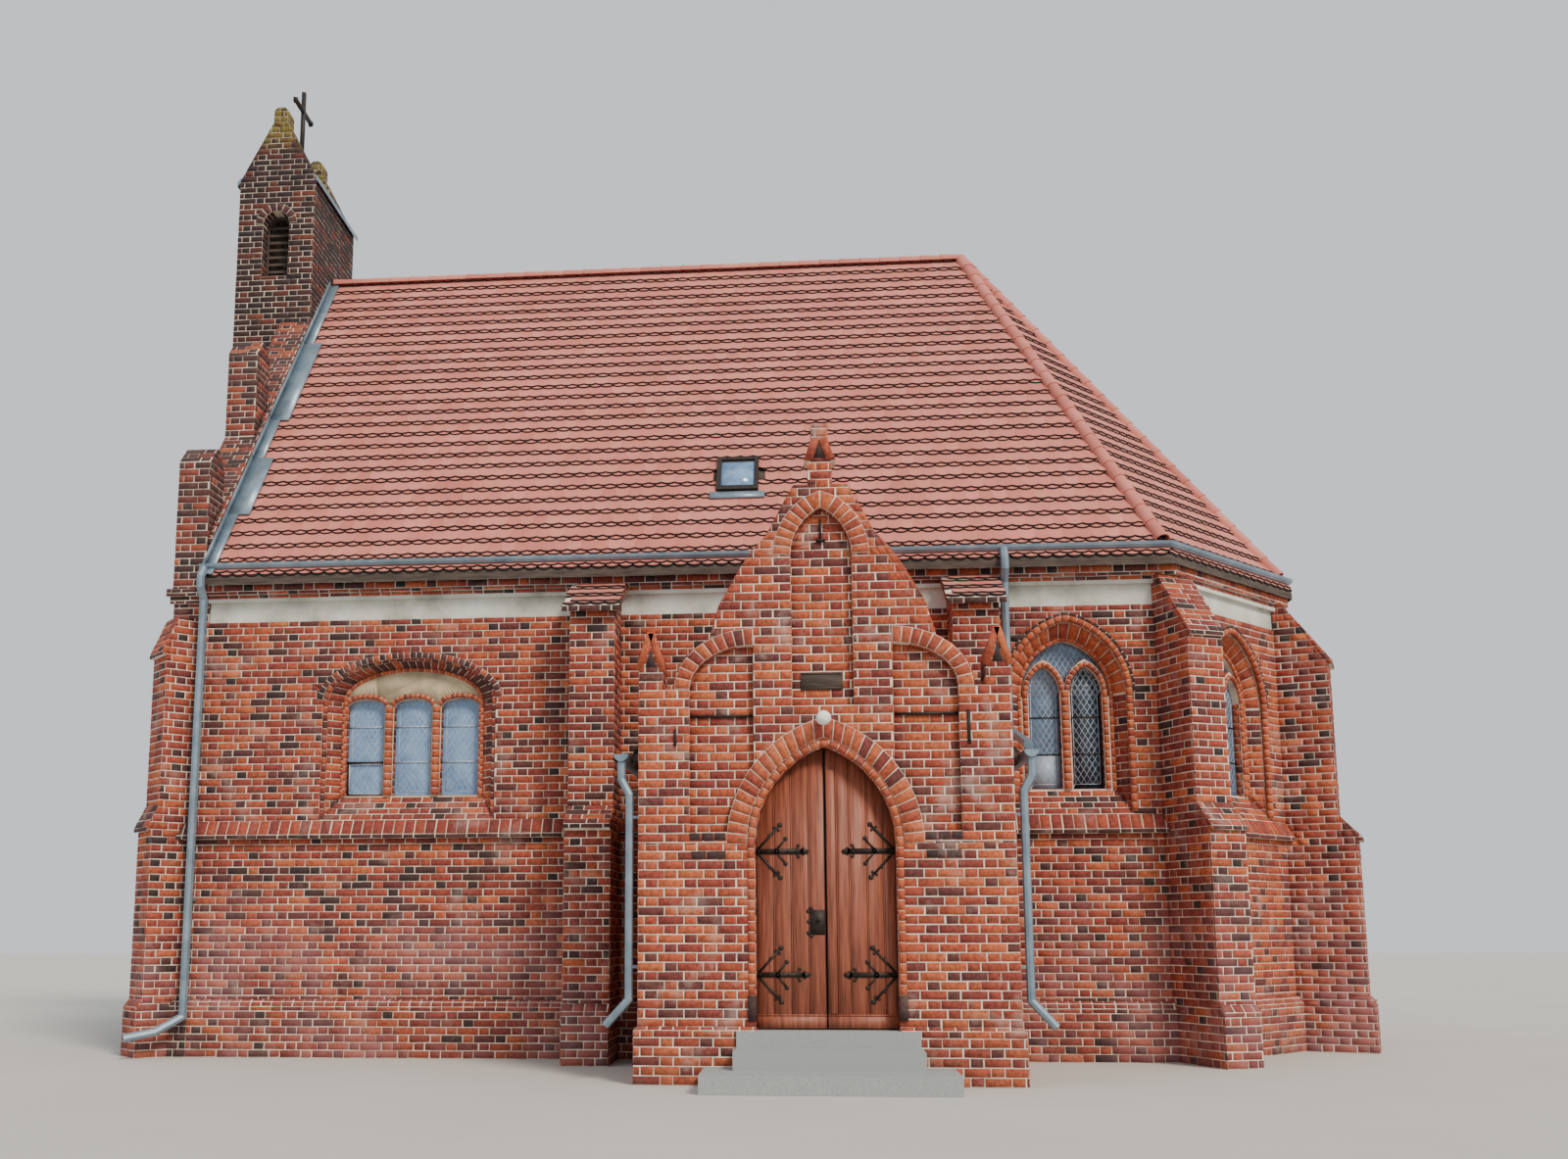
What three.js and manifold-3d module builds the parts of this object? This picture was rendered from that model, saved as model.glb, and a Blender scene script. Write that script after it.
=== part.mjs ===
// Small brick church: a nave with a three-sided apse, a west gable that carries a bell
// tower, stepped buttresses, and a south porch with a pointed double door.
// Millimetres. X runs east, Y north and Z up, and the foot of the lowest step is at Z 0.
import * as THREE from "three";
import { ConvexGeometry } from "three/addons/geometries/ConvexGeometry.js";
import { mergeVertices } from "three/addons/utils/BufferGeometryUtils.js";
import Module from "manifold-3d";

const wasm = await Module();
wasm.setup();

// The gap between neighbours, how far a cutter passes a face, and how far two stages share
const GAP = 0.3;
const OVERLAP = 20;
const BITE = 1;

// Plan of the nave, from the outer corner of the west gable and the south face
const NAVE_LENGTH = 13250;
const NAVE_WIDTH = 8440;
const APSE_CUT = 1990;
const WALL = 560;
const GABLE_WALL = 500;
const MIDDLE = NAVE_WIDTH / 2;
const APSE_END = NAVE_LENGTH + APSE_CUT;

// Heights on the nave walls
const PLINTH_OUT = 80;
const PLINTH_TOP = 640;
const PLINTH_ROUND = 90;
const STRING_OUT = 100;
const STRING_UNDER = 2800;
const STRING_EDGE = 2850;
const STRING_TOP = 3045;
const FRIEZE_FOOT = 5730;
const FRIEZE_TOP = 6000;
const FRIEZE_IN = 20;
const CORNICE_STEP = 40;
const CORNICE_COURSE = 97.5;
const CORNICE_TOP = FRIEZE_TOP + 2 * CORNICE_COURSE;
const WALL_TOP = 8000;
const FLOOR = 560;

// Main roof
const EAVE_Z = 6290;
const RIDGE_Z = 12600;
const RIDGE_END = 11200;
const EAVE_OUT = 260;
const APSE_EAVE_OUT = 140;
const ROOF_THICK = 90;
const CAPPING_HALF = 120;
const CAPPING_THICK = 90;
const HIP_FOOT = 4500;

// Three-light window with basket arches, on the west bays
const TRIPLE = {
  kind: "basket",
  step: 1170,
  splay: 1120,
  plate: 960,
  springing: 4650,
  rise: 0.47,
  lights: [-645, 0, 645],
  light: 260,
  lightSpringing: 4580,
  lightRise: 0.423,
};

// Two-light window with pointed arches, on the apse and the east bays
const POINTED = {
  kind: "pointed",
  step: 770,
  splay: 740,
  plate: 600,
  springing: 4600,
  rise: 1.27,
  lights: [-265, 265],
  light: 200,
  lightSpringing: 4650,
  lightRise: 1.65,
  ring: 70,
};
const SILL_Z = 3360;
const LIGHT_FOOT = 3380;
const STEP_IN = 60;
const RECESS = 210;
const PLATE = 100;
const GLASS_FOOT = 3300;
const GLASS_THICK = 12;
const TRIPLE_X = 3300;
const POINTED_X = 11870;
const NORTH_MIDDLE_X = 8260;

// Buttresses: how far each stage stands out, and the heights of its slopes
const NAVE_BUTTRESS = {
  width: 570, plinth: 1000, lower: 900, upper: 650, drip: 70, root: 20,
  lowSlope: [2850, 3150], cap: { thick: 70, wallZ: 6180, edgeZ: 5680, out: 790, side: 80 },
};
const APSE_BUTTRESS = {
  width: 500, plinth: 860, lower: 780, upper: 560, drip: 50, root: 300,
  lowSlope: [2780, 3130], highSlope: [5200, 6120],
};
const WEST_BUTTRESS = {
  width: 480, plinth: 290, lower: 220, upper: 140, drip: 60, root: 400,
  lowSlope: [2900, 3250], highSlope: [5250, 5800],
};
const NAVE_BUTTRESS_X = [5845, 10665];
const DRIP_EDGE = 50;

// West gable and its pinnacles
const PARAPET = 300;
const GABLE_SEAT = 10500;
const PINNACLE_WIDE = 440;
const CORNER_PINNACLE = { from: -50, to: -50 + PINNACLE_WIDE, foot: 6110, shoulder: 8000, top: 8240 };
const MIDDLE_PINNACLE = { from: 1350, to: 1350 + PINNACLE_WIDE, foot: 8500, shoulder: 10180, top: 10420 };

// Bell tower
const TOWER_WEST = -790;
const TOWER_EAST = GABLE_WALL;
const TOWER_X = (TOWER_WEST + TOWER_EAST) / 2;
const TOWER_HALF = (TOWER_EAST - TOWER_WEST) / 2;
const TOWER_SOUTH = 3245;
const TOWER_NORTH = NAVE_WIDTH - TOWER_SOUTH;
const TOWER_WALL = 280;
const CHAMBER_FLOOR = 12300;
const SHOULDER_Z = 14070;
const CAP_HALF = 115;
const CAP_FOOT = 15100;
const CAP_TOP = 15370;
const BELL_ARCH = { half: 225, foot: 12350, springing: 13280 };
const SADDLE_RIDGE = 14950;
const SADDLE_EAVE = 14050;
const SADDLE_OUT = 60;
const SADDLE_THICK = 80;
const LOUVER = { inside: 200, depth: 80, pitch: 130, stile: 35, board: 20, fall: 75 };
const CROSS = { bar: 50, top: 16270, armZ: 15900, arm: 800 };

// South porch; its own x is counted from the middle of the door
const PORCH_X = 8730;
const PORCH_HALF = 2000;
const PORCH_FRONT = -2950;
const PORCH_WALL = 420;
const PORCH_BACK = PORCH_FRONT + PORCH_WALL;
const PORCH_PLINTH = { out: 40, top: 560, round: 40 };
const DOOR_HALF = 750;
const DOOR_SPRINGING = 2510;
const DOOR_CENTRE = 360;
const ORDER_BACK = -2800;
const REBATE_HALF = 950;
const REBATE_TOP = 3720;
const PORCH_RIDGE = 5880;
const PORCH_EAVE = 3500;
const PORCH_EAVE_OUT = 120;
const PORCH_ROOF_THICK = 100;
const NICHE_IN = 90;
const CENTRE_NICHE = { half: 335, foot: 4000, springing: 5680, rise: 530 };
const SIDE_NICHE_ARCH = { x: 750, z: 4200, wide: 700, tall: 480, foot: 2640 };
const HALF_ARCH = { x: 1060, z: 4200, radius: 560, end: 52 };
const FINIAL = { foot: 6470, depth: 280 };

// Granite steps, with the top one level with the floor
const STEPS = [
  { half: 1290, front: -3850, top: 190 },
  { half: 975, front: -3400, top: 380 },
  { half: 955, front: -3030, top: FLOOR },
];

// Doorway from the porch into the nave
const INNER_HALF = 750;
const INNER_SPRINGING = 2400;
const INNER_CENTRE = 250;
const INNER_BEARING = 150;

// Door leaves
const LEAF_FRONT = -2794;
const LEAF_THICK = 60;
const LEAF_SIDE = 790;
const LEAF_FOOT = 570;
const LEAF_SPLIT = 7;
const HINGE_X = 800;
const HINGE_IN = 26;
const HINGE_Y = LEAF_FRONT + LEAF_THICK + HINGE_IN;
const HINGE_RADIUS = 18;
const HINGE_ARM = 20;
const KNUCKLE = 60;
const HINGE_Z = [1100, 2400];
const STRAP = { wide: 50, thick: 8, length: 560, end: 740, lift: 5 };
const LOCK = { wide: 170, tall: 260, thick: 6, z: 1680 };

// Rainwater pipes and gutters; a gutter lies on the roof slope, off the plane by its radius
const SLOPE = (RIDGE_Z - EAVE_Z) / (MIDDLE + EAVE_OUT);
const GUTTER_RADIUS = 75;
const GUTTER_SHEET = 5;
const GUTTER_END = 450;
const GUTTER_IN = 45;
const GUTTER_LIFT = 2;
const GUTTER_Z = EAVE_Z + GUTTER_IN * SLOPE + (GUTTER_RADIUS + GUTTER_LIFT) * Math.hypot(1, SLOPE);
const PIPE_RADIUS = 55;
const PIPE_Y = -EAVE_OUT + GUTTER_IN;
const PIPE_WEST_X = 510;
const PIPE_EAST_X = 11090;
const PIPE_CLIPS = { west: [2000, 5000], east: [5200] };
const SWAN_NECK = { outlet: 7, mouth: 51, drop: 130, wallDrop: 280 };
const WEST_SHOE = [[260, -430, 340], [-50, -640, 270]];
const EAST_SHOE = [[11240, -365, 300]];
const OVER_PORCH = [[PIPE_EAST_X, PIPE_Y, 4100], [10970, -2450, 3615]];
const SHOE_BEND = 520;
const PORCH_GUTTER = { radius: 80, pipe: 45, front: -2920, pipeY: -2850, neck: [3230, 3060] };
const PORCH_PIPE_CLIPS = [1200, 2800];
const PORCH_SHOE = { bend: 870, reach: 250, mouth: 600 };
const PIPE_OFF_PLINTH = 25;
const CLIP = 30;

// A small roof window on the south slope, and the lamp over the porch door
const SKYLIGHT = { x: [7350, 7930], y: [640, 1070], curb: 80, frame: 60, pane: 20 };
const LAMP = { y: -3110, z: 3840, radius: 82.5, arm: 25 };

const BRICK = { color: 0x9a4a36, roughness: 0.9, metalness: 0 };
const OLD_BRICK = { color: 0x7d3f33, roughness: 0.92, metalness: 0 };
const PORCH_BRICK = { color: 0xa8492f, roughness: 0.9, metalness: 0 };
const TILE = { color: 0xb4614c, roughness: 0.8, metalness: 0 };
const ZINC = { color: 0x8e9ba3, roughness: 0.45, metalness: 0.8 };
const GLASS = { color: 0x7e93a6, roughness: 0.15, metalness: 0 };
const DOOR_WOOD = { color: 0x7a4234, roughness: 0.6, metalness: 0 };
const GRANITE = { color: 0x9b9b98, roughness: 0.85, metalness: 0 };
const FLOOR_STONE = { color: 0x8d8378, roughness: 0.9, metalness: 0 };
const IRON = { color: 0x2f2d2d, roughness: 0.7, metalness: 0.6 };
const DARK_WOOD = { color: 0x4a3b32, roughness: 0.8, metalness: 0 };
const OPAL_GLASS = { color: 0xe9e9e4, roughness: 0.25, metalness: 0 };

const church = new THREE.Group();

// A closed geometry as a solid that can be joined and cut
function solid(geometry) {
  geometry.deleteAttribute("normal");
  geometry.deleteAttribute("uv");
  const welded = mergeVertices(geometry, 1e-3);
  return new wasm.Manifold(new wasm.Mesh({
    numProp: 3,
    vertProperties: new Float32Array(welded.attributes.position.array),
    triVerts: new Uint32Array(welded.index.array),
  }));
}

function joined(parts) {
  return parts.reduce((whole, part) => whole.add(part));
}

function cut(body, tools) {
  return tools.reduce((rest, tool) => rest.subtract(tool), body);
}

function geometryOf(body) {
  const mesh = body.getMesh();
  const geometry = new THREE.BufferGeometry();
  geometry.setAttribute("position", new THREE.BufferAttribute(mesh.vertProperties, 3));
  geometry.setIndex(new THREE.BufferAttribute(mesh.triVerts, 1));
  return geometry;
}

function addPiece(name, body, finish) {
  const geometry = geometryOf(body);
  geometry.computeVertexNormals();
  const piece = new THREE.Mesh(geometry, new THREE.MeshStandardMaterial(finish));
  piece.name = name;
  church.add(piece);
}

function outline(points) {
  return new THREE.Shape(points.map(([x, z]) => new THREE.Vector2(x, z)));
}

function hull(points) {
  return solid(new ConvexGeometry(points.map(([x, y, z]) => new THREE.Vector3(x, y, z))));
}

function box([x0, x1], [y0, y1], [z0, z1]) {
  const geometry = new THREE.BoxGeometry(x1 - x0, y1 - y0, z1 - z0);
  return solid(geometry.translate((x0 + x1) / 2, (y0 + y1) / 2, (z0 + z1) / 2));
}

// An outline in X and Z, made solid from y0 to y1
function upright(points, y0, y1) {
  const geometry = new THREE.ExtrudeGeometry(outline(points), { depth: y1 - y0, bevelEnabled: false });
  return geometry.rotateX(Math.PI / 2).translate(0, y1, 0);
}

// An outline in Y and Z, made solid from x0 to x1
function crosswise(points, x0, x1) {
  const geometry = new THREE.ExtrudeGeometry(outline(points), { depth: x1 - x0, bevelEnabled: false });
  const east = new THREE.Vector3(1, 0, 0);
  const north = new THREE.Vector3(0, 1, 0);
  const up = new THREE.Vector3(0, 0, 1);
  return solid(geometry.applyMatrix4(new THREE.Matrix4().makeBasis(north, up, east)).translate(x0, 0, 0));
}

function rod(from, to, radius, sides = 10) {
  const start = new THREE.Vector3(...from);
  const way = new THREE.Vector3(...to).sub(start);
  const turn = new THREE.Quaternion().setFromUnitVectors(new THREE.Vector3(0, 1, 0), way.clone().normalize());
  const geometry = new THREE.CylinderGeometry(radius, radius, way.length(), sides);
  const middle = start.addScaledVector(way, 0.5);
  return solid(geometry.applyQuaternion(turn).translate(middle.x, middle.y, middle.z));
}

// A pipe along straight lengths, mitred at each bend
function pipe(points, radius, corners = 8) {
  const path = points.map((point) => new THREE.Vector3(...point));
  const lengths = path.length - 1;
  const ways = path.slice(1).map((point, i) => point.clone().sub(path[i]).normalize());
  const side = new THREE.Vector3(1, 0, 0).cross(ways[0]).normalize();
  const across = [side];
  ways.slice(1).forEach((way, i) => {
    const turn = new THREE.Quaternion().setFromUnitVectors(ways[i], way);
    across.push(across[i].clone().applyQuaternion(turn));
  });
  const geometry = new THREE.CylinderGeometry(radius, radius, lengths, corners, lengths);
  const place = geometry.attributes.position;
  for (let i = 0; i < place.count; i += 1) {
    const ring = Math.round(place.getY(i) + lengths / 2);
    const before = Math.max(ring - 1, 0);
    const bendPlane = ways[before].clone().add(ways[Math.min(ring, lengths - 1)]);
    const third = across[before].clone().cross(ways[before]);
    const offset = across[before].clone().multiplyScalar(place.getX(i)).addScaledVector(third, place.getZ(i));
    offset.addScaledVector(ways[before], -offset.dot(bendPlane) / ways[before].dot(bendPlane));
    place.setXYZ(i, path[ring].x + offset.x, path[ring].y + offset.y, path[ring].z + offset.z);
  }
  return solid(geometry);
}

// The upper edge of an arch from its left springing to its right one, about x = 0
function archLine(kind, half, springing, rise, steps) {
  if (kind === "basket") {
    const curve = new THREE.EllipseCurve(0, springing, half, rise, Math.PI, 0, true);
    return curve.getPoints(2 * steps).map((p) => [p.x, p.y]);
  }
  const centre = (rise * rise - half * half) / (2 * half);
  const radius = half + centre;
  const apex = Math.acos(centre / radius);
  const right = new THREE.EllipseCurve(-centre, springing, radius, radius, apex, 0, true);
  const side = right.getPoints(steps).map((p) => [p.x, p.y]);
  const mirrored = side.slice(1).reverse().map(([x, z]) => [-x, z]);
  return [...mirrored, ...side];
}

function archOutline(kind, half, foot, springing, rise, steps = 8) {
  return [[-half, foot], ...archLine(kind, half, springing, rise, steps), [half, foot]];
}

function moved(points, dx, dz = 0) {
  return points.map(([x, z]) => [x + dx, z + dz]);
}

function mirroredOutline(rightSide) {
  return [...rightSide, ...rightSide.slice().reverse().map(([x, z]) => [-x, z])];
}

// Points on an arc that rises from level on the right, up to an angle in degrees
function risingArc(x, z, wide, tall, angle, steps) {
  const curve = new THREE.EllipseCurve(x, z, wide, tall, 0, THREE.MathUtils.degToRad(angle));
  return curve.getPoints(steps).map((p) => [p.x, p.y]);
}

// Wall runs: a profile of [distance out, height] swept along one side, mitred at its ends
function sideNormal(from, to) {
  return new THREE.Vector2(from[1] - to[1], to[0] - from[0]).normalize();
}

function mitre(a, b) {
  return a.clone().add(b).divideScalar(1 + a.dot(b));
}

function runGeometry(profile, from, to, fromMitre, toMitre, trim = GAP / 2) {
  const along = new THREE.Vector2(to[0] - from[0], to[1] - from[1]).normalize();
  const geometry = new THREE.ExtrudeGeometry(outline(profile), { depth: 1, bevelEnabled: false });
  const place = geometry.attributes.position;
  for (let i = 0; i < place.count; i += 1) {
    const out = place.getX(i);
    const atEnd = place.getZ(i);
    const height = place.getY(i);
    const [point, slant, inset] = atEnd > 0.5 ? [to, toMitre, -trim] : [from, fromMitre, trim];
    const x = point[0] + slant.x * out + along.x * inset;
    const y = point[1] + slant.y * out + along.y * inset;
    place.setXYZ(i, x, y, height);
  }
  return geometry;
}

function wallRun(profile, from, to, fromMitre, toMitre) {
  return solid(runGeometry(profile, from, to, fromMitre, toMitre));
}

function joinedRun(profile, from, to, fromMitre, toMitre) {
  return solid(runGeometry(profile, from, to, fromMitre, toMitre, 0));
}

// One run around the corners of a route, with straight ends
function routeRun(profile, route) {
  const last = route.length - 1;
  const faces = route.slice(1).map((point, i) => sideNormal(route[i], point));
  const slants = route.map((_, i) => mitre(faces[Math.max(i - 1, 0)], faces[Math.min(i, last - 1)]));
  const sweep = { depth: last, steps: last, bevelEnabled: false };
  const geometry = new THREE.ExtrudeGeometry(outline(profile), sweep);
  const place = geometry.attributes.position;
  for (let i = 0; i < place.count; i += 1) {
    const stop = Math.round(place.getZ(i));
    const out = place.getX(i);
    const [x, y] = route[stop];
    place.setXYZ(i, x + slants[stop].x * out, y + slants[stop].y * out, place.getY(i));
  }
  return solid(geometry);
}

// A profile that stands out further by grow cuts room for what leans on the wall
function mouldedProfile(thickness, grow = 0) {
  const plinthShoulder = PLINTH_OUT * 0.7;
  return [
    [-thickness, -grow],
    [PLINTH_OUT + grow, -grow],
    [PLINTH_OUT + grow, PLINTH_TOP + grow],
    [plinthShoulder + grow, PLINTH_TOP + PLINTH_ROUND * 0.7 + grow],
    [grow, PLINTH_TOP + PLINTH_ROUND + grow],
    [grow, STRING_UNDER - grow],
    [STRING_OUT + grow, STRING_UNDER - grow],
    [STRING_OUT + grow, STRING_EDGE + grow],
    [grow, STRING_TOP + grow],
  ];
}

function corniceProfile(thickness, top, grow = 0) {
  return [
    [CORNICE_STEP + grow, FRIEZE_TOP - grow],
    [CORNICE_STEP + grow, FRIEZE_TOP + CORNICE_COURSE - grow],
    [2 * CORNICE_STEP + grow, FRIEZE_TOP + CORNICE_COURSE - grow],
    [2 * CORNICE_STEP + grow, top + grow],
    [-thickness, top + grow],
  ];
}

function naveProfile(top) {
  const frieze = [[0, FRIEZE_FOOT], [-FRIEZE_IN, FRIEZE_FOOT], [-FRIEZE_IN, FRIEZE_TOP]];
  return [...mouldedProfile(WALL), ...frieze, ...corniceProfile(WALL, top)];
}

function plainProfile(thickness, grow = 0) {
  const cornice = corniceProfile(thickness, CORNICE_TOP, grow);
  return [...mouldedProfile(thickness, grow), [grow, FRIEZE_TOP - grow], ...cornice];
}

function gableWestProfile(grow = 0) {
  return [...mouldedProfile(GABLE_WALL, grow), [grow, CORNICE_TOP + grow], [-GABLE_WALL, CORNICE_TOP + grow]];
}

// The outer sides, clockwise seen from above
const SOUTHWEST = [0, 0];
const NORTHWEST = [0, NAVE_WIDTH];
const NORTH_BEND = [NAVE_LENGTH, NAVE_WIDTH];
const NORTHEAST = [APSE_END, NAVE_WIDTH - APSE_CUT];
const SOUTHEAST = [APSE_END, APSE_CUT];
const SOUTH_BEND = [NAVE_LENGTH, 0];
const normals = {
  west: sideNormal(SOUTHWEST, NORTHWEST),
  north: sideNormal(NORTHWEST, NORTH_BEND),
  northeast: sideNormal(NORTH_BEND, NORTHEAST),
  east: sideNormal(NORTHEAST, SOUTHEAST),
  southeast: sideNormal(SOUTHEAST, SOUTH_BEND),
  south: sideNormal(SOUTH_BEND, SOUTHWEST),
};
const mitres = {
  southwest: mitre(normals.south, normals.west),
  northwest: mitre(normals.west, normals.north),
  northBend: mitre(normals.north, normals.northeast),
  northeast: mitre(normals.northeast, normals.east),
  southeast: mitre(normals.east, normals.southeast),
  southBend: mitre(normals.southeast, normals.south),
};
const SOUTH_START = [GABLE_WALL, 0];
const NORTH_START = [GABLE_WALL, NAVE_WIDTH];
const sides = {
  south: [SOUTH_BEND, SOUTH_START, mitres.southBend, normals.south],
  southeast: [SOUTHEAST, SOUTH_BEND, mitres.southeast, mitres.southBend],
  east: [NORTHEAST, SOUTHEAST, mitres.northeast, mitres.southeast],
  northeast: [NORTH_BEND, NORTHEAST, mitres.northBend, mitres.northeast],
  north: [NORTH_START, NORTH_BEND, normals.north, mitres.northBend],
  southReturn: [SOUTH_START, SOUTHWEST, normals.south, mitres.southwest],
  west: [SOUTHWEST, NORTHWEST, mitres.southwest, mitres.northwest],
  northReturn: [NORTHWEST, NORTH_START, mitres.northwest, normals.north],
};

// Main roof planes
const SLANTED_EAVE = NAVE_LENGTH + APSE_EAVE_OUT * Math.SQRT2;
const EAVE_BEND = [SLANTED_EAVE - EAVE_OUT, -EAVE_OUT];
const EAVE_APSE = [APSE_END + APSE_EAVE_OUT, APSE_END + APSE_EAVE_OUT - SLANTED_EAVE];

function northOf([x, y]) {
  return [x, NAVE_WIDTH - y];
}

const EAVES = [EAVE_BEND, EAVE_APSE, northOf(EAVE_APSE), northOf(EAVE_BEND)];

function roofPoints(lift, base, westX = GABLE_WALL + GAP) {
  const eaves = [[westX, -EAVE_OUT], ...EAVES, [westX, NAVE_WIDTH + EAVE_OUT]];
  const ridge = [[westX, MIDDLE], [RIDGE_END, MIDDLE]];
  return [
    ...eaves.map(([x, y]) => [x, y, EAVE_Z + lift]),
    ...ridge.map(([x, y]) => [x, y, RIDGE_Z + lift]),
    ...eaves.map(([x, y]) => [x, y, base]),
  ];
}

const underRoof = hull(roofPoints(-ROOF_THICK - GAP, -GAP));
const overRoof = hull(roofPoints(GAP, 0, GABLE_WALL));

function naveSlope(mirror) {
  const trim = GAP / 2;
  const plan = [
    [GABLE_WALL + GAP, -EAVE_OUT],
    [EAVES[0][0] - trim, -EAVE_OUT],
    [RIDGE_END - trim, MIDDLE - trim],
    [GABLE_WALL + GAP, MIDDLE - trim],
  ];
  const place = ([x, y], drop) => [x, mirror ? NAVE_WIDTH - y : y, EAVE_Z + SLOPE * (y + EAVE_OUT) - drop];
  return hull([...plan.map((p) => place(p, 0)), ...plan.map((p) => place(p, ROOF_THICK))]);
}

function apseRoof() {
  const shell = (drop, base) => hull([
    ...EAVES.map(([x, y]) => [x + GAP / 2, y, EAVE_Z - drop]),
    ...EAVES.map(([x, y]) => [x + GAP / 2, y, base]),
    [RIDGE_END + GAP / 2, MIDDLE, RIDGE_Z - drop],
    [RIDGE_END + GAP / 2, MIDDLE, base],
  ]);
  return shell(0, EAVE_Z - ROOF_THICK).subtract(shell(ROOF_THICK, EAVE_Z - 2 * ROOF_THICK));
}

// Capping over the ridge and the four hips: a raised skin, kept only in strips along them
function ridgeAndHipTiles() {
  const top = [RIDGE_END, MIDDLE];
  const strip = (from, to) => {
    const way = new THREE.Vector2(to[0] - from[0], to[1] - from[1]);
    const geometry = new THREE.BoxGeometry(way.length(), 2 * CAPPING_HALF, RIDGE_Z);
    const [x, y] = midpoint(from, to);
    return solid(geometry.rotateZ(way.angle()).translate(x, y, RIDGE_Z));
  };
  const hips = EAVES.map((eave) => strip(top, between(top, eave, HIP_FOOT)));
  const ridge = strip([GABLE_WALL + GAP, MIDDLE], [RIDGE_END + CAPPING_HALF, MIDDLE]);
  return hull(roofPoints(CAPPING_THICK, 0)).subtract(overRoof).intersect(joined([ridge, ...hips]));
}

// Windows, made in a frame with x to the right, y into the wall and z up
function recessStage(kind, front, rear) {
  const ring = ({ half, foot, springing, rise, y }) => (
    archOutline(kind, half, foot, springing, rise).map(([x, z]) => [x, y, z])
  );
  return new ConvexGeometry([...ring(front), ...ring(rear)].map((p) => new THREE.Vector3(...p)));
}

function lightOutline(w, foot, grow = 0) {
  const rise = w.light * w.lightRise + grow * 1.3;
  return archOutline(w.kind, w.light + grow, foot, w.lightSpringing, rise, 5);
}

function windowTools(w) {
  const slope = (SILL_Z - STRING_TOP) / RECESS;
  const arch = (half, y) => {
    const foot = STRING_TOP + slope * y;
    return { half, y, foot, springing: w.springing, rise: half * w.rise };
  };
  const out = -STRING_OUT;
  const back = RECESS + PLATE;
  return [
    recessStage(w.kind, arch(w.step, out), arch(w.step, STEP_IN)),
    recessStage(w.kind, arch(w.splay, STEP_IN - BITE), arch(w.plate, RECESS)),
    upright(archOutline(w.kind, w.plate, GLASS_FOOT, w.springing, w.plate * w.rise), back, WALL + OVERLAP),
    ...w.lights.map((x) => upright(moved(lightOutline(w, LIGHT_FOOT), x), RECESS - BITE, back + BITE)),
  ];
}

// The glazed top between the heads of the two lights and the arch over them
function spandrelTool(w) {
  const back = RECESS + PLATE;
  const half = w.plate - w.ring / 2;
  const field = archOutline(w.kind, half, w.springing - OVERLAP, w.springing, half * w.rise);
  const rings = w.lights.map((x) => (
    solid(upright(moved(lightOutline(w, LIGHT_FOOT, w.ring), x), RECESS - 2 * BITE, back + 2 * BITE))
  ));
  return cut(solid(upright(field, RECESS - BITE, back + BITE)), rings);
}

function windowGlass(w) {
  const half = w.plate - GAP;
  const points = archOutline(w.kind, half, GLASS_FOOT + GAP, w.springing, half * w.rise);
  const front = RECESS + PLATE + GAP;
  return upright(points, front, front + GLASS_THICK);
}

function onWall(geometry, [x, y], angle) {
  return solid(geometry.rotateZ(THREE.MathUtils.degToRad(angle)).translate(x, y, 0));
}

function withWindow(wall, w, place, angle) {
  const cutters = windowTools(w).map((tool) => onWall(tool, place, angle));
  if (w.ring) {
    cutters.push(onWall(geometryOf(spandrelTool(w)), place, angle));
  }
  return cut(wall, cutters);
}

function midpoint(a, b) {
  return [(a[0] + b[0]) / 2, (a[1] + b[1]) / 2];
}

const windows = [
  { name: "glass_south_triple", w: TRIPLE, place: [TRIPLE_X, 0], angle: 0, side: "south" },
  { name: "glass_south_pointed", w: POINTED, place: [POINTED_X, 0], angle: 0, side: "south" },
  { name: "glass_southeast", w: POINTED, place: midpoint(SOUTHEAST, SOUTH_BEND), angle: 45, side: "southeast" },
  { name: "glass_east", w: POINTED, place: [APSE_END, MIDDLE], angle: 90, side: "east" },
  { name: "glass_northeast", w: POINTED, place: midpoint(NORTH_BEND, NORTHEAST), angle: 135, side: "northeast" },
  { name: "glass_north_east_bay", w: POINTED, place: [POINTED_X, NAVE_WIDTH], angle: 180, side: "north" },
  { name: "glass_north_middle_bay", w: POINTED, place: [NORTH_MIDDLE_X, NAVE_WIDTH], angle: 180, side: "north" },
  { name: "glass_north_triple", w: TRIPLE, place: [TRIPLE_X, NAVE_WIDTH], angle: 180, side: "north" },
];

function naveWall(side) {
  const whole = wallRun(naveProfile(WALL_TOP), ...sides[side]).intersect(underRoof);
  return windows
    .filter((window) => window.side === side)
    .reduce((wall, { w, place, angle }) => withWindow(wall, w, place, angle), whole);
}

function pointedHole(half, centre, foot, springing, y0, y1) {
  const rise = Math.sqrt((half + centre) ** 2 - centre ** 2);
  return upright(archOutline("pointed", half, foot, springing, rise), y0, y1);
}

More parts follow.
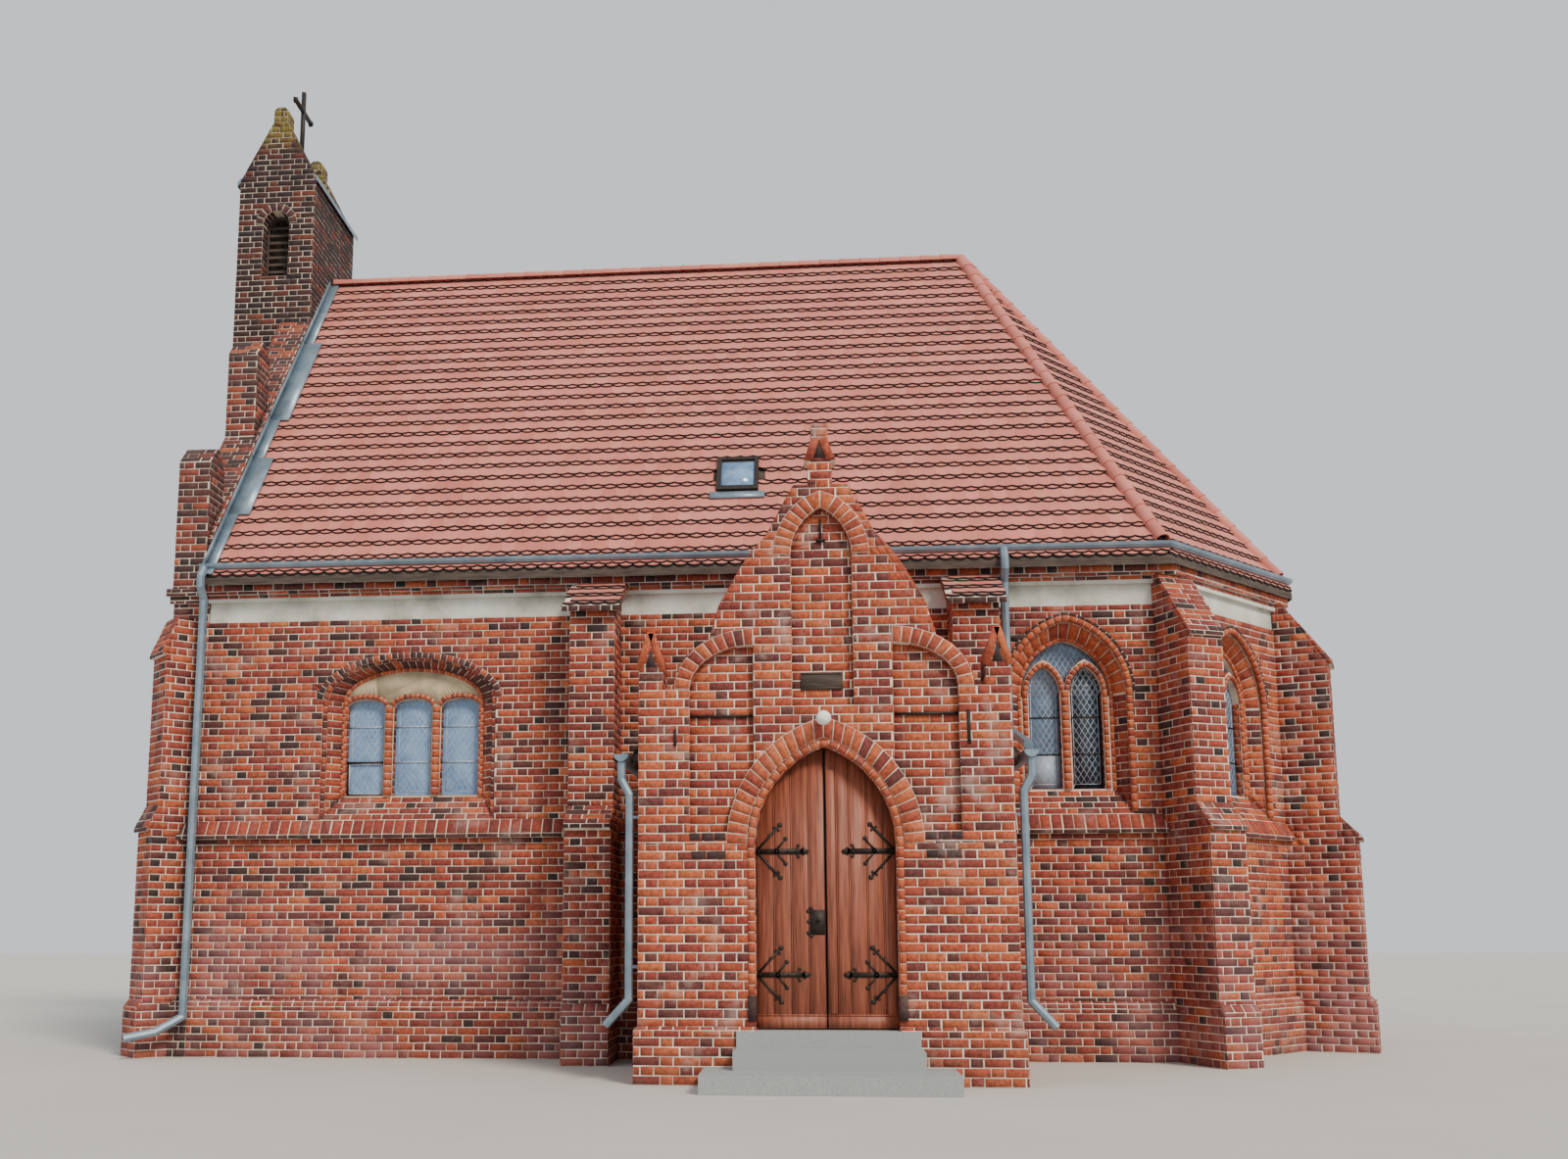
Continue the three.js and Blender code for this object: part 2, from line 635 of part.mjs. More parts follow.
// The south wall in three: beside the inner doorway on the west and east, and over it
function southWalls() {
  const hole = pointedHole(INNER_HALF, INNER_CENTRE, -OVERLAP, INNER_SPRINGING, -WALL, 2 * WALL);
  const wall = naveWall("south").subtract(solid(hole.translate(PORCH_X, 0, 0)));
  const bearing = INNER_HALF + INNER_BEARING;
  const deep = [-WALL, 2 * WALL];
  const over = [PORCH_X - bearing + GAP / 2, PORCH_X + bearing - GAP / 2];
  const room = [PORCH_X - bearing - GAP / 2, PORCH_X + bearing + GAP / 2];
  const head = box(room, deep, [INNER_SPRINGING, WALL_TOP]);
  const west = box([GABLE_WALL - OVERLAP, PORCH_X], deep, [-OVERLAP, WALL_TOP]);
  const east = box([PORCH_X, APSE_END], deep, [-OVERLAP, WALL_TOP]);
  return {
    west: wall.intersect(west).subtract(head),
    east: wall.intersect(east).subtract(head),
    over: wall.intersect(box(over, deep, [INNER_SPRINGING + GAP, WALL_TOP])),
  };
}

// West gable: the wall up to its parapet, with two pinnacles on each slope
function pinnacle({ from, to, foot, shoulder, top }) {
  const ridge = (from + to) / 2;
  return [
    [from, foot], [to, foot], [to, shoulder], [ridge + OVERLAP, top], [ridge - OVERLAP, top], [from, shoulder],
  ];
}

function westGable() {
  const parapetAt = (y) => EAVE_Z + SLOPE * (y + EAVE_OUT) + PARAPET;
  const besideTower = TOWER_SOUTH - GAP;
  const slope = [[0, 0], [0, parapetAt(0)], [besideTower, parapetAt(TOWER_SOUTH)], [besideTower, GABLE_SEAT]];
  const northSlope = slope.slice().reverse().map(([y, z]) => [NAVE_WIDTH - y, z]);
  const panel = crosswise([...slope, ...northSlope], 0, GABLE_WALL);
  const mouldings = [
    joinedRun(gableWestProfile(), ...sides.west),
    joinedRun(plainProfile(GABLE_WALL), ...sides.southReturn),
    joinedRun(plainProfile(GABLE_WALL), ...sides.northReturn),
  ];
  const pinnacles = [CORNER_PINNACLE, MIDDLE_PINNACLE].flatMap((p) => [
    crosswise(pinnacle(p), 0, PINNACLE_WIDE),
    crosswise(pinnacle(p).map(([y, z]) => [NAVE_WIDTH - y, z]), 0, PINNACLE_WIDE),
  ]);
  return joined([panel, ...mouldings, ...pinnacles]);
}

// Buttresses
function buttressOutline(b) {
  const [lowFoot, lowTop] = b.lowSlope;
  const stages = [
    [-b.root, 0], [b.plinth, 0], [b.plinth, PLINTH_TOP], [b.lower, PLINTH_TOP + PLINTH_ROUND],
    [b.lower, lowFoot], [b.lower + b.drip, lowFoot], [b.lower + b.drip, lowFoot + DRIP_EDGE], [b.upper, lowTop],
  ];
  if (b.cap) {
    const under = (out) => capTop(b.cap, out) - b.cap.thick / 2;
    return [...stages, [b.upper, under(b.upper)], [-b.root, under(-b.root)]];
  }
  const [highFoot, highTop] = b.highSlope;
  return [
    ...stages, [b.upper, highFoot], [b.upper + b.drip, highFoot], [b.upper + b.drip, highFoot + DRIP_EDGE],
    [0, highTop], [-b.root, highTop],
  ];
}

function capTop(cap, out) {
  return cap.wallZ - (cap.wallZ - cap.edgeZ) * (out / cap.out);
}

function outstanding(points, width, [x, y], angle) {
  const geometry = upright(points, -width / 2, width / 2);
  return onWall(geometry, [x, y], angle);
}

function buttress(b, place, angle, walls) {
  const parts = [outstanding(buttressOutline(b), b.width, place, angle)];
  if (b.cap) {
    const { thick, out, side } = b.cap;
    const slab = [
      [-b.root, capTop(b.cap, -b.root)], [-b.root, capTop(b.cap, -b.root) - thick],
      [out, capTop(b.cap, out) - thick], [out, capTop(b.cap, out)],
    ];
    parts.push(outstanding(slab, b.width + 2 * side, place, angle));
  }
  return cut(joined(parts), walls);
}

function envelope(side) {
  const profile = side === "west" ? gableWestProfile(GAP) : plainProfile(WALL, GAP);
  return solid(runGeometry(profile, ...sides[side], -GAP));
}

const envelopes = Object.fromEntries(Object.keys(sides).map((side) => [side, envelope(side)]));

const buttresses = [
  ["buttress_south_west_bay", NAVE_BUTTRESS, [NAVE_BUTTRESS_X[0], 0], -90, ["south"]],
  ["buttress_south_east_bay", NAVE_BUTTRESS, [NAVE_BUTTRESS_X[1], 0], -90, ["south"]],
  ["buttress_north_west_bay", NAVE_BUTTRESS, [NAVE_BUTTRESS_X[0], NAVE_WIDTH], 90, ["north"]],
  ["buttress_north_east_bay", NAVE_BUTTRESS, [NAVE_BUTTRESS_X[1], NAVE_WIDTH], 90, ["north"]],
  ["buttress_south_bend", APSE_BUTTRESS, SOUTH_BEND, -67.5, ["south", "southeast"]],
  ["buttress_southeast", APSE_BUTTRESS, SOUTHEAST, -22.5, ["southeast", "east"]],
  ["buttress_northeast", APSE_BUTTRESS, NORTHEAST, 22.5, ["east", "northeast"]],
  ["buttress_north_bend", APSE_BUTTRESS, NORTH_BEND, 67.5, ["northeast", "north"]],
  ["buttress_southwest", WEST_BUTTRESS, SOUTHWEST, -135, ["southReturn", "west", "south"]],
  ["buttress_northwest", WEST_BUTTRESS, NORTHWEST, 135, ["northReturn", "west", "north"]],
].map(([name, b, place, angle, against]) => ({
  name,
  body: buttress(b, place, angle, against.map((side) => envelopes[side])),
}));

// Bell tower: a pier beside the gable wall, a hollow chamber and two gables
function saddleHalf(lift, reach) {
  const eaveHalf = TOWER_HALF + SADDLE_OUT;
  const slope = (SADDLE_RIDGE - SADDLE_EAVE) / eaveHalf;
  return SADDLE_RIDGE + lift - slope * reach;
}

function saddleOutline(lift, half, base) {
  const eave = saddleHalf(lift, half);
  return moved([[-half, base], [half, base], [half, eave], [0, saddleHalf(lift, 0)], [-half, eave]], TOWER_X);
}

function bellTower() {
  const gable = moved(mirroredOutline([
    [TOWER_HALF, GABLE_SEAT + GAP], [TOWER_HALF, SHOULDER_Z], [CAP_HALF, CAP_FOOT],
    [CAP_HALF, CAP_TOP - CAP_HALF / 2], [CAP_HALF / 2, CAP_TOP],
  ]), TOWER_X);
  const shaft = solid(upright(gable, TOWER_SOUTH, TOWER_NORTH));
  const inner = [TOWER_SOUTH + TOWER_WALL, TOWER_NORTH - TOWER_WALL];
  const chamber = box([TOWER_WEST - WALL, TOWER_EAST + WALL], inner, [CHAMBER_FLOOR, CAP_TOP + WALL]);
  const underSaddle = saddleOutline(-SADDLE_THICK - GAP, TOWER_HALF, CHAMBER_FLOOR - OVERLAP);
  const sideWalls = solid(upright(underSaddle, inner[0] - OVERLAP, inner[1] + OVERLAP));
  const hollow = box([TOWER_WEST + TOWER_WALL, TOWER_EAST - TOWER_WALL], inner, [CHAMBER_FLOOR, CAP_TOP]);
  const pier = box([TOWER_WEST, -GAP], [TOWER_SOUTH, TOWER_NORTH], [0, GABLE_SEAT + OVERLAP]);
  const foot = box([TOWER_WEST - PLINTH_OUT, -GAP], [TOWER_SOUTH - PLINTH_OUT, TOWER_NORTH + PLINTH_OUT],
    [0, PLINTH_TOP]);
  const { half, foot: sill, springing } = BELL_ARCH;
  const bellArch = upright(moved(archOutline("basket", half, sill, springing, half, 5), TOWER_X),
    TOWER_SOUTH - OVERLAP, TOWER_NORTH + OVERLAP);
  const ground = cut(pier.add(foot), [envelopes.west]);
  return joined([shaft.subtract(chamber), sideWalls.subtract(hollow), ground]).subtract(solid(bellArch));
}

function turretRoof() {
  const outerHalf = TOWER_HALF + SADDLE_OUT;
  const inside = [TOWER_SOUTH + TOWER_WALL + GAP, TOWER_NORTH - TOWER_WALL - GAP];
  const slab = (y0, y1) => {
    const over = solid(upright(saddleOutline(0, outerHalf, SADDLE_EAVE - SADDLE_THICK), y0, y1));
    const under = saddleOutline(-SADDLE_THICK, outerHalf + BITE, SADDLE_EAVE - WALL);
    return over.subtract(solid(upright(under, y0 - BITE, y1 + BITE)));
  };
  const eaves = slab(TOWER_SOUTH, TOWER_NORTH + SADDLE_OUT);
  const clear = box([TOWER_WEST - GAP, TOWER_EAST + GAP], [TOWER_SOUTH - WALL, TOWER_NORTH + WALL],
    [CHAMBER_FLOOR, CAP_TOP]);
  return slab(...inside).add(eaves.subtract(clear));
}

function towerCross() {
  const half = CROSS.bar / 2;
  const post = box([TOWER_X - half, TOWER_X + half], [MIDDLE - half, MIDDLE + half], [SADDLE_EAVE, CROSS.top]);
  const arm = box([TOWER_X - half, TOWER_X + half], [MIDDLE - CROSS.arm / 2, MIDDLE + CROSS.arm / 2],
    [CROSS.armZ - half, CROSS.armZ + half]);
  const saddle = solid(upright(saddleOutline(GAP, TOWER_HALF, SADDLE_EAVE - WALL), TOWER_SOUTH, TOWER_NORTH));
  return post.add(arm).subtract(saddle);
}

// Sloping boards between two stiles, cut to the round head of the opening
function louvers(faceY, inward) {
  const { half, foot, springing } = BELL_ARCH;
  const { depth, pitch, stile, board: thick, fall } = LOUVER;
  const outer = faceY + inward * LOUVER.inside;
  const inner = outer + inward * depth;
  const [front, back] = [Math.min(outer, inner), Math.max(outer, inner)];
  const arched = (edge, grow) => {
    const points = archOutline("basket", half - edge, foot + edge, springing, half - edge, 5);
    return solid(upright(moved(points, TOWER_X), front - grow, back + grow));
  };
  const head = arched(GAP, 0);
  const frame = head.subtract(arched(stile, BITE));
  const count = Math.floor((springing + half - foot) / pitch);
  const boards = Array.from({ length: count }, (_, i) => {
    const z = foot + thick + i * pitch;
    const board = [[outer, z], [inner, z + fall], [inner, z + fall + thick], [outer, z + thick]];
    return crosswise(board, TOWER_X - half, TOWER_X + half).intersect(head);
  });
  return joined([frame, ...boards]);
}

// Porch
function porchProfile(top, grow = 0) {
  const { out, top: plinthTop, round } = PORCH_PLINTH;
  return [
    [-PORCH_WALL, -grow], [out + grow, -grow], [out + grow, plinthTop + grow], [grow, plinthTop + round + grow],
    [grow, top], [-PORCH_WALL, top],
  ];
}

const PORCH_WEST = PORCH_X - PORCH_HALF;
const PORCH_EAST = PORCH_X + PORCH_HALF;
const porchWestward = new THREE.Vector2(-1, 0);
const porchEastward = new THREE.Vector2(1, 0);

const porchRoute = [
  [PORCH_EAST, PORCH_BACK], [PORCH_EAST, PORCH_FRONT], [PORCH_WEST, PORCH_FRONT], [PORCH_WEST, PORCH_BACK],
];

function doorOpening(foot, y0, y1) {
  const order = pointedHole(DOOR_HALF, DOOR_CENTRE, foot, DOOR_SPRINGING, y0, ORDER_BACK + 1);
  const rebate = box([-REBATE_HALF, REBATE_HALF], [ORDER_BACK, y1], [foot, REBATE_TOP]);
  return [solid(order.translate(PORCH_X, 0, 0)), atPorch(rebate)];
}

function atPorch(body) {
  return solid(geometryOf(body).translate(PORCH_X, 0, 0));
}

// Knuckles on the wall: the lower half of each hinge, on an arm from the rebate's side
function wallKnuckles(sign) {
  return HINGE_Z.map((z) => {
    const x = PORCH_X + sign * HINGE_X;
    const side = PORCH_X + sign * (REBATE_HALF + OVERLAP);
    const heights = [z - KNUCKLE, z - GAP];
    const barrel = rod([x, HINGE_Y, heights[0]], [x, HINGE_Y, heights[1]], HINGE_RADIUS, 12);
    const armY = [HINGE_Y - HINGE_ARM / 2, HINGE_Y + HINGE_ARM / 2];
    return barrel.add(box([Math.min(x, side), Math.max(x, side)], armY, heights));
  });
}

function porchFront(sign) {
  const whole = routeRun(porchProfile(DOOR_SPRINGING - GAP), porchRoute);
  const reach = [PORCH_X + (sign < 0 ? -PORCH_HALF - WALL : 0), PORCH_X + (sign < 0 ? 0 : PORCH_HALF + WALL)];
  const half = whole.intersect(box(reach, [PORCH_FRONT - WALL, PORCH_BACK], [-OVERLAP, DOOR_SPRINGING]));
  const opened = cut(half, doorOpening(-OVERLAP, PORCH_FRONT - WALL, PORCH_BACK + OVERLAP));
  return joined([opened, ...wallKnuckles(sign)]);
}

// Front gable: corner finials, half arches, stepped rakes and a finial at the top
function gableSide() {
  const { x, z, radius, end } = HALF_ARCH;
  const foot = [[PORCH_HALF, DOOR_SPRINGING], [PORCH_HALF, 4550]];
  const cornerFinial = [...foot, [1870, 4850], [1740, 4550], [1740, z]];
  const rake = [
    [1220, 4760], [1120, 5130], [1020, 5300], [880, 5550],
    [740, 5750], [590, 5910], [430, 6220], [290, FINIAL.foot],
  ];
  const topFinial = [[130, FINIAL.foot], [130, 6750], [170, 6750], [60, 7000], [90, 7000], [90, 7170]];
  return [...cornerFinial, ...risingArc(x, z, radius, radius, end, 4), ...rake, ...topFinial];
}

function sideNiche() {
  const { x, z, wide, tall, foot } = SIDE_NICHE_ARCH;
  return [[x, foot], [x + wide, foot], ...risingArc(x, z, wide, tall, 90, 6)];
}

function porchGable() {
  const front = solid(upright(moved(mirroredOutline(gableSide()), PORCH_X), PORCH_FRONT, PORCH_BACK));
  const nicheDepth = [PORCH_FRONT - OVERLAP, PORCH_FRONT + NICHE_IN];
  const { half, foot, springing, rise } = CENTRE_NICHE;
  const niches = [
    sideNiche(),
    sideNiche().map(([x, z]) => [-x, z]),
    archOutline("pointed", half, foot, springing, rise),
  ].map((points) => solid(upright(moved(points, PORCH_X), ...nicheDepth)));
  const behindFinial = box([PORCH_WEST, PORCH_EAST], [PORCH_FRONT + FINIAL.depth, PORCH_BACK + OVERLAP],
    [FINIAL.foot, CAP_TOP]);
  const door = doorOpening(DOOR_SPRINGING - OVERLAP, PORCH_FRONT - WALL, PORCH_BACK + OVERLAP);
  return cut(front, [...niches, behindFinial, ...door]);
}

const PORCH_SLOPE = (PORCH_RIDGE - PORCH_EAVE) / (PORCH_HALF + PORCH_EAVE_OUT);

function porchRoofOutline(drop, half, base) {
  const edge = PORCH_RIDGE - drop - PORCH_SLOPE * half;
  return moved([[-half, base], [half, base], [half, edge], [0, PORCH_RIDGE - drop], [-half, edge]], PORCH_X);
}

// The room that the east bay's buttress takes up, with a gap around it
function buttressRoom() {
  const grown = buttressOutline(NAVE_BUTTRESS).map(([out, z]) => [out + GAP, z]);
  const place = [NAVE_BUTTRESS_X[1], 0];
  const width = NAVE_BUTTRESS.width + 2 * GAP;
  return joined([0, GAP].map((lift) => outstanding(moved(grown, 0, lift), width, place, -90)));
}

function porchSideWall(sign) {
  const outer = sign < 0 ? PORCH_WEST : PORCH_EAST;
  const near = [outer, PORCH_BACK + GAP];
  const far = [outer, OVERLAP];
  const normal = sign < 0 ? porchWestward : porchEastward;
  const [from, to] = sign < 0 ? [near, far] : [far, near];
  const wall = solid(runGeometry(porchProfile(PORCH_RIDGE), from, to, normal, normal, 0));
  const roofRoom = solid(upright(porchRoofOutline(PORCH_ROOF_THICK + GAP, PORCH_HALF + WALL, -OVERLAP),
    PORCH_FRONT, WALL));
  const tools = [envelopes.south];
  return cut(wall.intersect(roofRoom), sign < 0 ? tools : [...tools, buttressRoom()]);
}

function porchRoof() {
  const half = PORCH_HALF + PORCH_EAVE_OUT;
  const ends = [PORCH_BACK + GAP, OVERLAP];
  const over = solid(upright(porchRoofOutline(0, half, PORCH_EAVE - PORCH_ROOF_THICK), ...ends));
  const under = upright(porchRoofOutline(PORCH_ROOF_THICK, half + OVERLAP, 0), ends[0] - BITE, ends[1] + BITE);
  return cut(over, [solid(under), envelopes.south, buttressRoom()]);
}

// Door leaves: each a half of a pointed door, hung on the inner side of the rebate
function doorLeaf(sign) {
  const radius = LEAF_SIDE + DOOR_CENTRE;
  const rise = Math.sqrt(radius ** 2 - DOOR_CENTRE ** 2);
  const arch = archOutline("pointed", LEAF_SIDE, LEAF_FOOT, DOOR_SPRINGING, rise, 12);
  const board = solid(upright(arch, LEAF_FRONT, LEAF_FRONT + LEAF_THICK));
  const span = [LEAF_SPLIT, LEAF_SIDE + OVERLAP].map((x) => x * sign).sort((a, b) => a - b);
  const half = board.intersect(box(span, [LEAF_FRONT - BITE, HINGE_Y], [0, REBATE_TOP]));
  const across = (a, b) => [a * sign, b * sign].sort((m, n) => m - n);
  const onFace = (thick) => [LEAF_FRONT - thick, LEAF_FRONT + BITE];
  const straps = HINGE_Z.map((z) => {
    const foot = z + STRAP.lift;
    return box(across(STRAP.end - STRAP.length, STRAP.end), onFace(STRAP.thick), [foot, foot + STRAP.wide]);
  });
  const inner = LEAF_FRONT + LEAF_THICK;
  const knuckles = HINGE_Z.flatMap((z) => [
    rod([sign * HINGE_X, HINGE_Y, z], [sign * HINGE_X, HINGE_Y, z + KNUCKLE], HINGE_RADIUS, 12),
    box(across(HINGE_X - 5 * HINGE_ARM, HINGE_X), [inner - BITE, HINGE_Y], [z, z + KNUCKLE]),
  ]);
  const parts = [half, ...straps, ...knuckles];
  if (sign < 0) {
    const plate = [LOCK.z - LOCK.tall / 2, LOCK.z + LOCK.tall / 2];
    parts.push(box(across(LEAF_SPLIT, LEAF_SPLIT + LOCK.wide), onFace(LOCK.thick), plate));
  }
  return atPorch(joined(parts));
}

// Three granite steps; the top one runs on between the door jambs as the threshold
function entranceSteps() {
  const steps = STEPS.map(({ half, front, top }) => box([-half, half], [front, PORCH_FRONT], [0, top]));
  const threshold = box([-REBATE_HALF + GAP, REBATE_HALF - GAP], [PORCH_FRONT - BITE, PORCH_BACK], [0, FLOOR]);
  const stone = atPorch(joined([...steps, threshold]));
  const front = routeRun(porchProfile(DOOR_SPRINGING, GAP), porchRoute);
  const passage = pointedHole(DOOR_HALF - GAP, DOOR_CENTRE, -OVERLAP, DOOR_SPRINGING, PORCH_FRONT - WALL,
    ORDER_BACK + CLIP);
  const rebate = box([-REBATE_HALF + GAP, REBATE_HALF - GAP], [ORDER_BACK + GAP, PORCH_BACK + WALL],
    [-OVERLAP, REBATE_TOP]);
  const wallAround = cut(front, [solid(passage.translate(PORCH_X, 0, 0)), atPorch(rebate)]);
  return stone.subtract(wallAround);
}

// One floor of the nave, the inner doorway and the porch
function floorSlab() {
  const inside = -WALL - GAP;
  const corner = ([x, y], slant) => [x + slant.x * inside, y + slant.y * inside];
  const nave = new THREE.Shape([
    [GABLE_WALL + GAP, WALL + GAP],
    corner(SOUTH_BEND, mitres.southBend),
    corner(SOUTHEAST, mitres.southeast),
    corner(NORTHEAST, mitres.northeast),
    corner(NORTH_BEND, mitres.northBend),
    [GABLE_WALL + GAP, NAVE_WIDTH - WALL - GAP],
  ].map(([x, y]) => new THREE.Vector2(x, y)));
  const naveFloor = solid(new THREE.ExtrudeGeometry(nave, { depth: FLOOR, bevelEnabled: false }));
  const passageHalf = INNER_HALF - GAP;
  const passage = box([PORCH_X - passageHalf, PORCH_X + passageHalf], [-PLINTH_OUT - 2 * GAP, WALL + OVERLAP],
    [0, FLOOR]);
  const porchInside = PORCH_HALF - PORCH_WALL - GAP;
  const porchFloor = box([PORCH_X - porchInside, PORCH_X + porchInside], [PORCH_BACK + GAP, -PLINTH_OUT - GAP],
    [0, FLOOR]);
  return joined([naveFloor, passage, porchFloor]);
}

// A half round, hanging below z; with a rise, its straight sides go on upward
function halfRound(centre, z, radius, rise = 0) {
  const curve = new THREE.EllipseCurve(centre, z, radius, radius, Math.PI, 2 * Math.PI);
  const bowl = curve.getPoints(6).map((p) => [p.x, p.y]);
  return rise > 0 ? [[centre - radius, z + rise], ...bowl, [centre + radius, z + rise]] : bowl;
}

function between([x0, y0], [x1, y1], distance) {
  const share = distance / Math.hypot(x1 - x0, y1 - y0);
  return [x0 + (x1 - x0) * share, y0 + (y1 - y0) * share];
}

// The sheet trough is a half round less a smaller one that stops short of its ends
function eaveGutter(mirror) {
  const southRoute = [EAVES[1], EAVES[0], [GUTTER_END, -EAVE_OUT]];
  const [start, bend, end] = mirror ? southRoute.map(northOf).reverse() : southRoute;
  const within = [between(start, bend, GUTTER_SHEET), bend, between(end, bend, GUTTER_SHEET)];
  const outer = routeRun(halfRound(-GUTTER_IN, GUTTER_Z, GUTTER_RADIUS), [start, bend, end]);
  const bore = halfRound(-GUTTER_IN, GUTTER_Z, GUTTER_RADIUS - GUTTER_SHEET, OVERLAP);
  return outer.subtract(routeRun(bore, within));
}

function clip(x, y, z, wallY) {
  const [from, to] = [Math.min(y, wallY), Math.max(y, wallY)];
  return box([x - CLIP / 2, x + CLIP / 2], [from, to], [z, z + CLIP]);
}

function flipped(points, mirror) {
  return mirror ? points.map(([x, y, z]) => [x, NAVE_WIDTH - y, z]) : points;
}

// The outlet leaves the gutter's front, passes the eave and comes back to the wall
function swanNeck(x) {
  const outY = -EAVE_OUT - PIPE_RADIUS - OVERLAP;
  const { outlet, mouth, drop, wallDrop } = SWAN_NECK;
  return [
    [x, -EAVE_OUT + outlet, GUTTER_Z - mouth], [x, outY, EAVE_Z],
    [x, outY, EAVE_Z - drop], [x, PIPE_Y, EAVE_Z - wallDrop],
  ];
}

function rainPipes(mirror) {
  const wallFace = mirror ? NAVE_WIDTH + GAP : -GAP;
  const pipeY = mirror ? NAVE_WIDTH - PIPE_Y : PIPE_Y;
  const west = [...swanNeck(PIPE_WEST_X), [PIPE_WEST_X, PIPE_Y, SHOE_BEND], ...WEST_SHOE];
  const toGround = [[PIPE_EAST_X, PIPE_Y, SHOE_BEND], ...EAST_SHOE];
  const east = [...swanNeck(PIPE_EAST_X), ...(mirror ? toGround : OVER_PORCH)];
  return [
    pipe(flipped(west, mirror), PIPE_RADIUS),
    pipe(flipped(east, mirror), PIPE_RADIUS),
    ...PIPE_CLIPS.west.map((z) => clip(PIPE_WEST_X, pipeY, z, wallFace)),
    ...PIPE_CLIPS.east.map((z) => clip(PIPE_EAST_X, pipeY, z, wallFace)),
  ];
}

function mainGutter(mirror) {
  return joined([eaveGutter(mirror), ...rainPipes(mirror)]);
}

function porchGutter(sign) {
  const { radius, front, pipeY, neck } = PORCH_GUTTER;
  const { bend, reach, mouth } = PORCH_SHOE;
  const centre = PORCH_X + sign * (PORCH_HALF + PORCH_EAVE_OUT + GAP + radius);
  const back = sign < 0 ? -STRING_OUT - OVERLAP : -NAVE_BUTTRESS.upper - GAP;
  const outer = solid(upright(halfRound(centre, PORCH_EAVE, radius), front, back));
  const inner = solid(upright(halfRound(centre, PORCH_EAVE, radius - GUTTER_SHEET, OVERLAP),
    front + GUTTER_SHEET, back - GUTTER_SHEET));
  const wallX = PORCH_X + sign * (PORCH_HALF + GAP);
  const pipeX = PORCH_X + sign * (PORCH_HALF + PORCH_PLINTH.out + PORCH_GUTTER.pipe + PIPE_OFF_PLINTH);
  const outlet = PORCH_EAVE - radius + GUTTER_SHEET / 2;
  const route = [
    [centre, outlet], [centre, neck[0]], [pipeX, neck[1]], [pipeX, bend], [pipeX + sign * reach, mouth],
  ];
  const down = pipe(route.map(([x, z]) => [x, pipeY, z]), PORCH_GUTTER.pipe);
  const clipX = [Math.min(wallX, pipeX), Math.max(wallX, pipeX)];
  const clips = PORCH_PIPE_CLIPS.map((z) => box(clipX, [pipeY - CLIP / 2, pipeY + CLIP / 2], [z, z + CLIP]));
  return joined([outer.subtract(inner), down, ...clips]);
}

// The roof window is laid on the slope
function onSlope(x, y, size, lift) {
  const angle = Math.atan(SLOPE);
  const geometry = new THREE.BoxGeometry(size[0], size[1], size[2]).translate(0, 0, lift + size[2] / 2);
  return solid(geometry.rotateX(angle).translate(x, y, EAVE_Z + SLOPE * (y + EAVE_OUT)));
}

function skylightSize() {
  const { x, y } = SKYLIGHT;
  const length = (y[1] - y[0]) * Math.hypot(1, SLOPE);
  return { middle: [(x[0] + x[1]) / 2, (y[0] + y[1]) / 2], wide: x[1] - x[0], length };
}

function roofSkylight() {
  const { middle, wide, length } = skylightSize();
  const { curb, frame, pane } = SKYLIGHT;
  const whole = onSlope(...middle, [wide, length, curb], GAP);
  const tray = onSlope(...middle, [wide - 2 * frame, length - 2 * frame, curb], curb - pane);
  const well = onSlope(...middle, [wide - 2 * frame, length - 2 * frame, curb], -2 * pane - GAP);
  return cut(whole, [tray, well]);
}

function roofHole() {
  const { middle, wide, length } = skylightSize();
  const { frame } = SKYLIGHT;
  return onSlope(...middle, [wide - 2 * frame, length - 2 * frame, 4 * ROOF_THICK], -2 * ROOF_THICK);
}

function porchLamp() {
  const globe = solid(new THREE.SphereGeometry(LAMP.radius, 16, 10).translate(PORCH_X, LAMP.y, LAMP.z));
  const arm = rod([PORCH_X, PORCH_FRONT - GAP, LAMP.z], [PORCH_X, LAMP.y, LAMP.z], LAMP.arm);
  return globe.add(arm);
}

const southWall = southWalls();
addPiece("south_wall_west", southWall.west, BRICK);
addPiece("south_wall_over_door", southWall.over, BRICK);
addPiece("south_wall_east", southWall.east, BRICK);
["southeast", "east", "northeast", "north"].forEach((side) => addPiece(`${side}_wall`, naveWall(side), BRICK));
addPiece("west_gable_wall", westGable(), OLD_BRICK);
buttresses.forEach(({ name, body }) => addPiece(name, body, OLD_BRICK));
addPiece("bell_tower", bellTower(), OLD_BRICK);
addPiece("turret_roof", turretRoof(), DARK_WOOD);
addPiece("tower_cross", towerCross(), IRON);
addPiece("louvers_south", louvers(TOWER_SOUTH, 1), DARK_WOOD);
addPiece("louvers_north", louvers(TOWER_NORTH, -1), DARK_WOOD);
addPiece("porch_front_west", porchFront(-1), PORCH_BRICK);
addPiece("porch_front_east", porchFront(1), PORCH_BRICK);
addPiece("porch_gable", porchGable(), PORCH_BRICK);
addPiece("porch_west_wall", porchSideWall(-1), PORCH_BRICK);
addPiece("porch_east_wall", porchSideWall(1), PORCH_BRICK);
addPiece("porch_roof", porchRoof(), TILE);
addPiece("porch_lamp", porchLamp(), OPAL_GLASS);
addPiece("door_leaf_west", doorLeaf(-1), DOOR_WOOD);
addPiece("door_leaf_east", doorLeaf(1), DOOR_WOOD);
addPiece("entrance_steps", entranceSteps(), GRANITE);
addPiece("floor", floorSlab(), FLOOR_STONE);
addPiece("nave_roof_south", naveSlope(false).subtract(roofHole()), TILE);
addPiece("nave_roof_north", naveSlope(true), TILE);
addPiece("apse_roof", apseRoof(), TILE);
addPiece("ridge_and_hip_tiles", ridgeAndHipTiles(), TILE);
